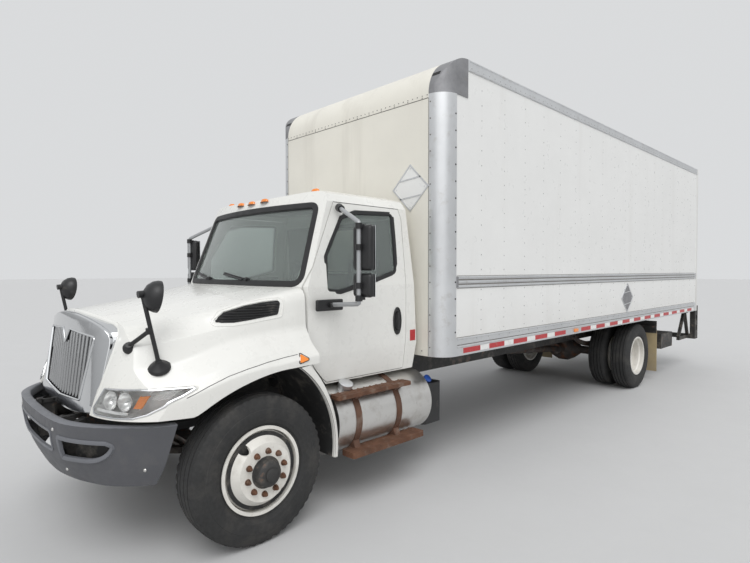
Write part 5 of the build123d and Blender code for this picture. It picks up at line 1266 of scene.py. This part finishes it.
def tape():
    red, white, amber = shapes(3)
    starts = [2080, 2512, 2970, 3427, 3890] + [4601 + 457 * k for k in range(11)]
    for s in starts:
        side_band(red, s, min(s + 277, 9600), 1094, 1143, rail_x, 0.0012)
        if s + 290 < 9560 and s != 3890:
            side_band(white, s + 279, min(s + 455, 9600), 1094, 1143, rail_x, 0.0010)
    amber.slab(place(rail_x - 1, 4396, 1098), place(rail_x + 14, 4497, 1140))
    red.mirrored().piece("tape_red_blocks", tape_red)
    white.mirrored().piece("tape_white_blocks", tape_white)
    amber.mirrored().piece("side_markers", lens_amber, bevel=0.005)


def front_wall():
    seam, dots = shapes(2)
    out = -REARWARD
    seam.slab(place(-1112, body_front - 3, 3452), place(1112, body_front + 1, 3488))
    seam.slab(place(-1112, body_front - 2, 1090), place(1112, body_front + 1, 1150))
    for k in range(38):
        dots.dome(place(-1100 + 59.4 * k, body_front - 3, 3478), out, 0.006, 0.004, 6)
        if k % 3 == 0:
            dots.dome(place(-1100 + 59.4 * k, body_front - 3, 3460), out, 0.006, 0.004, 6)
            dots.dome(place(-1100 + 59.4 * k, body_front - 2, 1120), out, 0.007, 0.004, 6)
    for n in range(16):
        for x in (-1132, 1132):
            hit = surface(["corner_posts"], place(x, 1500, 1160 + 150 * n), REARWARD)
            if hit:
                dots.dome(hit[0], hit[1], 0.007, 0.004, 8)
    seam.piece("front_wall_seams", front_paint, bevel=0.001)
    dots.piece("front_wall_rivets", rivet_dark, smooth=60)
    lines = Shape()
    lines.slab(place(-1110, body_front - 1.5, 3446), place(1110, body_front + 1, 3451))
    for x in (-1114, 1114):
        lines.slab(place(x - 2, body_front - 1.5, 1080), place(x + 2, body_front + 1, 3446))
    lines.piece("front_wall_sealant", groove_tone)


def placard(shape, plate, centre, width, tall, across, out):
    """A blank diamond placard frame with two slanted clips."""
    up = UPWARD
    corners = [(0, tall / 2), (width / 2, 0), (0, -tall / 2), (-width / 2, 0)]

    def at(a, b, lift):
        return centre + across * (a / 1000) + up * (b / 1000) + out * (lift / 1000)

    plate.prism([at(a, b, 0.5) for a, b in corners], out * 0.0015)
    ring = [at(a, b, 2) for a, b in corners]
    shape.sweep(ring, raised_bar(0.011, -0.001, 0.009, 0.004), True, out)
    for b in (tall * 0.20, -tall * 0.20):
        reach = width / 2 * (1 - abs(b) / (tall / 2))
        shape.sweep([at(-reach, b - 12, 3), at(reach, b + 12, 3)],
                    raised_bar(0.007, -0.001, 0.006, 0.003), normals=out)
    for a, b in ((0, tall * 0.42), (width * 0.40, 0), (0, -tall * 0.42), (-width * 0.40, 0)):
        shape.dome(at(a, b, 2), out, 0.007, 0.005)


def placards():
    frames, plates = shapes(2)
    placard(frames, plates, place(891, body_front, 2650), 440, 430, ACROSS, -REARWARD)
    frames.piece("front_placard_frame", rail_metal, smooth=40)
    plates.piece("front_placard_plate", panel_paint)
    frames, plates = shapes(2)
    placard(frames, plates, place(panel_x, 6168, 1462), 440, 430, REARWARD, ACROSS)
    frames.mirrored().piece("side_placard_frames", rail_metal, smooth=40)
    plates.mirrored().piece("side_placard_plates", cap_metal)


def cap_slots():
    slots = Shape()
    for sign in (-1, 1):
        spots = []
        normals = []
        for k in range(9):
            hit = surface(["roof_caps"], place(sign * (1120 + 11 * k), 1500, 3668), REARWARD)
            if hit:
                spots.append(hit[0])
                normals.append(hit[1])
        slots.sweep(spots, raised_bar(0.019, -0.004, 0.016, 0.003), normals=normals)
    slots.piece("cap_slots", dull_black, smooth=40)


def rear_details():
    lamps, bases, hardware, grooves = shapes(4)
    low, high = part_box("rear_door")
    back = high.y
    out = REARWARD
    for k in range(1, 6):
        z = low.z + (high.z - low.z) * k / 6
        grooves.slab((low.x + 0.01, back - 0.002, z - 0.004), (high.x - 0.01, back + 0.0012, z + 0.004))
        for x in (low.x + 0.12, 0.0, high.x - 0.12):
            hardware.slab((x - 0.035, back - 0.001, z - 0.045), (x + 0.035, back + 0.005, z + 0.045))
    hardware.slab((-0.10, back - 0.001, low.z + 0.16), (0.10, back + 0.008, low.z + 0.30))
    hardware.tube([Vector((-0.07, back + 0.018, low.z + 0.23)),
                   Vector((0.10, back + 0.022, low.z + 0.215))], 0.008, 10)
    hardware.tube([Vector((-0.05, back + 0.001, low.z + 0.06)), Vector((-0.05, back + 0.030, low.z + 0.075)),
                   Vector((0.05, back + 0.030, low.z + 0.075)), Vector((0.05, back + 0.001, low.z + 0.06))],
                  0.007, 10)
    low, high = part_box("rear_frame")
    for x in (-150, 0, 150, -1180, 1180):
        hit = surface(["rear_frame"], place(x, 11000, 3780), -REARWARD)
        if hit:
            bases.lathe([(0, 0.036), (0.004, 0.036), (0.005, 0.030)], hit[0], out, 24)
            lamps.lathe([(0.001, 0.031), (0.012, 0.030), (0.018, 0.020), (0.020, 0.0006)], hit[0], out, 24)
    for sign in (-1, 1):
        for z in (1330, 1500):
            hit = surface(["rear_frame"], place(sign * 1240, 11000, z), -REARWARD)
            if hit:
                bases.lathe([(0, 0.052), (0.005, 0.052), (0.006, 0.046)], hit[0], out, 28)
                lens = [(0.001, 0.047), (0.010, 0.046), (0.015, 0.030), (0.017, 0.0006)]
                lamps.lathe(lens, hit[0], out, 28)
    grooves.piece("rear_door_seams", groove_tone)
    hardware.piece("rear_door_hardware", rail_metal, bevel=0.0015)
    lamps.piece("rear_lamps", lens_red, smooth=60)
    bases.piece("rear_lamp_grommets", gasket, smooth=40)


def roof_edges():
    edge = Shape()
    path = [place(1290, s, 3834) for s in [*range(2160, 9600, 400), 9610]]
    edge.sweep(path, flat_bar(0.006, -0.003, 0.003), normals=Vector((1, 0, 0.6)))
    edge.mirrored().piece("roof_edge_lines", dull_black)
    bows = Shape()
    for k in range(12):
        s = 2500 + 610 * k
        bows.slab(place(-1180, s, 3836), place(1180, s + 24, 3840.5))
    bows.piece("roof_bow_seams", rail_metal)


side_rivets()
rails()
tape()
front_wall()
placards()
cap_slots()
rear_details()
roof_edges()


# Hood mirrors on stems with broad rubber feet, door mirrors with their heads and tubes, and a dark ring
# behind each front wheel's holes: painted shade

mirror_head = place(962, -640, 1712)


def hood_mirror(side, sign):
    stems, feet, glass, shell = shapes(4)
    knee = place(953, -672, 1500)
    for x, s, radius, height, tip in ((952, -612, 0.068, 0.050, place(950, -712, 1740)),
                                      (818, -742, 0.040, 0.036, knee)):
        spot, normal, _ = surface(["hood"], place(x, s, 2200), -UPWARD)
        lean = (normal * 0.6 + (tip - spot).normalized() * 0.6).normalized()
        feet.lathe([(-0.012, radius), (0.004, radius), (0.012, radius * 0.86), (height * 0.7, radius * 0.42),
                    (height, 0.020), (height, 0.0006)], spot, lean, 32)
        stems.tube([spot + lean * height * 0.6, tip], 0.0135, 14)
    stems.lathe(flat_bar(0.030, 0.0006, 0.022), place(950, -706, 1728),
                Vector((0, 1, 0.1)), 18)
    stems.tube([place(950, -706, 1728), place(958, -668, 1718)], 0.014, 12)
    stems.lathe(flat_bar(0.018, 0.0006, 0.020), knee, Vector((0.1, -0.1, 1)), 16)
    shell.lathe([(-0.070, 0.0006), (-0.066, 0.034), (-0.050, 0.066), (-0.022, 0.090), (0.004, 0.099),
                 (0.024, 0.100),
                 (0.024, 0.092), (0.018, 0.091)], mirror_head, Vector((0.12, 1, -0.16)), 40)
    glass.lathe([(0.018, 0.092), (0.022, 0.070), (0.025, 0.040), (0.026, 0.0006)], mirror_head,
                Vector((0.12, 1, -0.16)), 40)
    for word, shape, material in (("stems", stems, black_plastic), ("feet", feet, black_plastic),
                                  ("shell", shell, black_plastic), ("glass", glass, mirror_glass)):
        shape.onto(sign)
        thing = shape.piece(f"hood_mirror_{word}_{side}", material, "hood_assembly", smooth=50)
        if word == "stems" and sign > 0:
            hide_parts("hood_mirrors")


def door_mirror_tubes(side, sign):
    tubes, clamps, glass = shapes(3)
    path = [place(930, 850, 2398), place(1385, 666, 2228), place(1400, 660, 2212), place(1400, 660, 2190),
            place(1400, 660, 1650), place(1398, 660, 1632), place(1384, 661, 1625), place(1040, 670, 1602)]
    tubes.tube(path, 0.0170, 14)
    for z in (2040, 1760, 2195, 1668):
        clamps.lathe(flat_bar(0.022, 0.0006, 0.027), place(1400, 660, z),
                     UPWARD, 18)
        clamps.slab(place(1374, 650, z - 12), place(1426, 700, z + 12))
    clamps.lathe([(-0.03, 0.0006), (-0.03, 0.034), (0.03, 0.030), (0.03, 0.0006)], place(1000, 822, 2371),
                 Vector((0.93, -0.37, -0.34)), 18)
    for low, high in ((1874, 2199), (1678, 1844)):
        glass.slab(place(1308, 737, low), place(1492, 741, high))
    for word, shape, material in (("tubes", tubes, tube_grey), ("clamps", clamps, black_plastic),
                                  ("glass", glass, mirror_glass)):
        shape.onto(sign)
        shape.piece(f"door_mirror_{word}_{side}", material, f"{side}_door", smooth=50,
                    bevel=0.001 if word == "glass" else 0)


def wheel_hole_shade(side, sign):
    # A dark ring inside each front wheel, just behind its holes: painted shade in place of the light wheel
    # paint beyond.
    ring = Shape()
    centre = place(sign * front_face, 0, tyre_radius)
    ring.lathe([(-0.052, 0.148), (-0.052, 0.262), (-0.058, 0.262), (-0.058, 0.148), (-0.052, 0.148)], centre,
               Vector((sign, 0, 0)), 48)
    ring.piece(f"front_wheel_hole_shade_{side}", dull_black, f"{side}_front_wheel", smooth=40)


def mirror_heads(side, sign):
    """Two rounded housings on the tube and the bracket at its foot."""
    low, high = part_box(f"door_mirror_{side}")
    outer = max(abs(low.x), abs(high.x)) * 1000 - 4
    heads = Shape()
    for bottom, top in ((1870, 2203), (1674, 1850)):
        heads.slab(place(outer - 194, 672, bottom), place(outer, 735, top))
    feet = Shape()
    feet.slab(place(1046, 530, 1558), place(1078, 790, 1646))
    feet.slab(place(1070, 640, 1584), place(1108, 700, 1622))
    for shape, word, bevel, segments in ((heads, "heads", 0.030, 5), (feet, "bracket", 0.012, 3)):
        shape.onto(sign)
        thing = shape.piece(f"door_mirror_{word}_{side}", black_plastic, f"{side}_door", bevel, 40, segments)
        if word == "heads":
            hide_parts(f"door_mirror_{side}")


for side, sign in SIDES:
    hood_mirror(side, sign)
    mirror_heads(side, sign)
    door_mirror_tubes(side, sign)
    wheel_hole_shade(side, sign)


# Inner fenders and hinge arms carried by the hood


def hood_underside():
    liners = Shape()
    path = arc_points(((-430, 1010), (-120, 1146), (224, 1196)), 24) + [(330, 1197), (440, 1197)]
    for (s0, z0), (s1, z1) in zip(path, path[1:]):
        reach = min(1150, 1090 + 0.2 * (s0 + 500))
        corners = ((s0, z0), (s1, z1), (s1, z1 + 6), (s0, z0 + 6))
        liners.prism([place(600, s, z) for s, z in corners], Vector(((reach - 600) / 1000, 0, 0)))
    arms = Shape()
    profile = [(-1000, 880), (-1000, 910), (-872, 910), (-872, 966), (-930, 966), (-930, 1000),
               (-838, 1000), (-838, 880)]
    arms.prism([place(307, s, z) for s, z in profile], Vector((0.016, 0, 0)))
    arms.lathe([(0.0, 0.0125), (0.0, 0.024), (0.016, 0.024), (0.016, 0.0125)], place(307, -1000, 895),
               ACROSS, 24)
    thing = liners.mirrored().piece("inner_fenders", dull_black, "hood_assembly", smooth=50)
    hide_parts("hood_frame")
    arms.mirrored().piece("hood_hinge_arms", chassis_paint, "hood_assembly", bevel=0.002)


hood_underside()


# Tank and step fittings


def tank_fittings():
    cap = Shape()
    low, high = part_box("fuel_tank")
    cap.lathe([(-0.02, 0.052), (0.018, 0.052), (0.022, 0.060), (0.050, 0.060), (0.054, 0.054),
               (0.054, 0.0006)],
              Vector((high.x - 0.13, low.y + 0.16, high.z - 0.045)), Vector((0.45, 0, 1)), 28)
    cap.piece("fuel_cap", rail_metal, smooth=40)
    blue = Shape()
    low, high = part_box("def_tank")
    blue.lathe([(-0.02, 0.034), (0.010, 0.034), (0.012, 0.040), (0.040, 0.040), (0.043, 0.036),
                (0.043, 0.0006)],
               Vector((high.x - 0.09, (low.y + high.y) / 2, high.z - 0.022)), Vector((0.8, 0, 0.7)), 24)
    blue.piece("fluid_cap", blue_plastic, smooth=40)
    grating = Shape()
    low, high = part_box("cab_steps")
    for k in range(14):
        y = low.y + 0.03 + (high.y - low.y - 0.06) * k / 13
        hit = surface(["cab_steps"], Vector((high.x - 0.10, y, high.z + 0.3)), -UPWARD)
        if hit:
            for dx in (-0.045, -0.015, 0.015, 0.045):
                shift = Vector((dx, math.copysign(0.012, dx), 0))
                grating.dome(hit[0] + shift, hit[1], 0.011, 0.004, 8)
    if grating.verts:
        grating.mirrored().piece("step_buttons", rusty, smooth=50)


tank_fittings()


# Cab lining: grey trim laid just inside the doors, the rear wall and the roof


def lining(name, names, centre, out, first, second, spans, body="chassis"):
    low_a, high_a, low_b, high_b = spans
    step = 0.022
    rows = round((high_a - low_a) / step)
    columns = round((high_b - low_b) / step)
    spots = {}
    for i in range(rows + 1):
        for j in range(columns + 1):
            origin = centre + first * (low_a + step * i) + second * (low_b + step * j)
            hit = surface(names, origin, out)
            if hit and (hit[0] - origin).length < 1.3:
                spots[i, j] = hit[0] - out * 0.007
    order = {key: k for k, key in enumerate(spots)}
    verts = list(spots.values())
    faces = []
    for i, j in spots:
        ring = [(i, j), (i + 1, j), (i + 1, j + 1), (i, j + 1)]
        if all(key in spots for key in ring):
            reach = [spots[key].dot(out) for key in ring]
            if max(reach) - min(reach) < 0.03:
                faces.append([order[key] for key in ring])
    if faces:
        shape = Shape()
        shape.add(verts, faces)
        skin(shape, name, lining_grey, body, 0.003, -out, smooth=50)


for side, sign in SIDES:
    lining(f"door_trim_{side}", [f"door_{side}"], place(0, 1000, 1700), ACROSS * sign, REARWARD, UPWARD,
           (-0.52, 0.52, -0.48, 0.10), f"{side}_door")
lining("rear_wall_trim", ["cab_shell"], place(0, 1150, 1800), REARWARD, ACROSS, UPWARD,
       (-0.88, 0.88, -0.60, 0.55))
lining("headliner", ["cab_shell"], place(0, 1100, 2000), UPWARD, ACROSS, REARWARD,
       (-0.84, 0.84, -0.40, 0.42))


# Seats: foam cushions blown up by a short cloth simulation, with sewn channels

furthest = 0.022


def cushion(name, corners, across, facing, middle, lines):
    shape = Shape()
    shape.prism(corners, across)
    thing = shape.piece(name, seat_cloth, bevel=0.030, smooth=60, segments=4)
    apply_all(thing)
    remesh = thing.modifiers.new("remesh", "REMESH")
    remesh.mode = "VOXEL"
    remesh.voxel_size = 0.0075
    apply_all(thing)
    start = [v.co.copy() for v in thing.data.vertices]
    scene = bpy.context.scene
    cloth = thing.modifiers.new("cloth", "CLOTH")
    cloth.settings.quality = 4
    cloth.settings.use_pressure = True
    cloth.settings.uniform_pressure_force = 4
    cloth.settings.effector_weights.gravity = 0
    cloth.point_cache.frame_start = 1
    cloth.point_cache.frame_end = 20
    for frame in range(1, 21):
        scene.frame_set(frame)
    apply_all(thing)
    scene.frame_set(1)
    for vertex, before in zip(thing.data.vertices, start):
        move = vertex.co - before
        if move.length > furthest:
            vertex.co = before + move * (furthest / move.length)
    for vertex in thing.data.vertices:
        near = max(math.exp(-((vertex.co.x - middle - line) / 0.010) ** 2) for line in lines)
        if vertex.normal.dot(facing) > 0.3:
            vertex.co -= facing * 0.007 * near
    soft = thing.modifiers.new("soft", "SUBSURF")
    soft.levels = soft.render_levels = 1
    apply_all(thing)
    for face in thing.data.polygons:
        face.use_smooth = True
    return thing


def seats():
    for number, x in enumerate((480, -480)):
        base = [place(x - 228, s, z) for s, z in ((1058, 1354), (1440, 1354), (1440, 1440), (1058, 1448))]
        thing = cushion(f"seat_base_{number}", base, Vector((0.456, 0, 0)), UPWARD, x / 1000, (-0.13, 0.13))
        if not number:
            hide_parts("seat_cushions")
        back = [place(x - 220, s, z) for s, z in ((1472, 1480), (1540, 1400), (1592, 1990), (1542, 2000))]
        cushion(f"seat_back_{number}", back, Vector((0.44, 0, 0)), -REARWARD, x / 1000, (-0.12, 0.12))


seats()


# Camera, floor and light


def studio():
    scene = bpy.context.scene
    scene.view_settings.view_transform = "Standard"
    camera = bpy.data.cameras.new("camera")
    camera.sensor_width = 36
    camera.lens = 24.81
    camera.clip_end = 200
    holder = bpy.data.objects.new("camera", camera)
    scene.collection.objects.link(holder)
    holder.location = place(4183, -1881.8, 1873.3)
    yaw, pitch = math.radians(45.81), math.radians(-1.26)
    look = Vector((-math.sin(yaw) * math.cos(pitch), math.cos(yaw) * math.cos(pitch), math.sin(pitch)))
    holder.rotation_euler = look.to_track_quat("-Z", "Y").to_euler()
    scene.camera = holder

    mesh = bpy.data.meshes.new("floor")
    reach = 120
    mesh.from_pydata([(-reach, -reach, 0), (reach, -reach, 0), (reach, reach, 0), (-reach, reach, 0)], [],
                     [(0, 1, 2, 3)])
    ground = bpy.data.objects.new("floor", mesh)
    scene.collection.objects.link(ground)
    mesh.materials.append(finish("floor_tone", (0.56, 0.56, 0.56), 0.85, vary=0.01))

    world = bpy.data.worlds.new("world")
    scene.world = world
    world.use_nodes = True
    tree = world.node_tree
    tree.nodes.clear()
    where = node(tree, "TexCoord", {}).outputs["Generated"]
    height = node(tree, "SeparateXYZ", {0: where}).outputs["Z"]
    ramp = node(tree, "ValToRGB", {"Fac": span(tree, height, -1.0, 1.0)})
    marks = ((0.0, 0.30), (0.47, 0.28), (0.52, 0.62), (0.62, 0.90), (1.0, 1.0))
    while len(ramp.color_ramp.elements) < len(marks):
        ramp.color_ramp.elements.new(0.5)
    for element, (where_at, level) in zip(ramp.color_ramp.elements, marks):
        element.position = where_at
        element.color = (level * 0.97, level * 0.985, level, 1)
    sky = node(tree, "Background", {"Strength": 0.78, "Color": ramp.outputs["Color"]})
    plain = node(tree, "Background", {"Strength": 1.0, "Color": (0.70, 0.71, 0.72, 1)})
    seen = node(tree, "LightPath", {}).outputs["Is Camera Ray"]
    choose = node(tree, "MixShader", {0: seen, 1: sky.outputs[0], 2: plain.outputs[0]})
    node(tree, "OutputWorld", {"Surface": choose.outputs[0]})

    for name, power, angle, aim in (("key", 1.3, 40, (-0.45, 0.35, -0.82)),
                                    ("fill", 0.5, 60, (-0.6, 0.7, -0.35))):
        lamp = bpy.data.lights.new(name, "SUN")
        lamp.energy = power
        lamp.angle = math.radians(angle)
        thing = bpy.data.objects.new(name, lamp)
        scene.collection.objects.link(thing)
        thing.rotation_euler = Vector(aim).to_track_quat("-Z", "Y").to_euler()


studio()
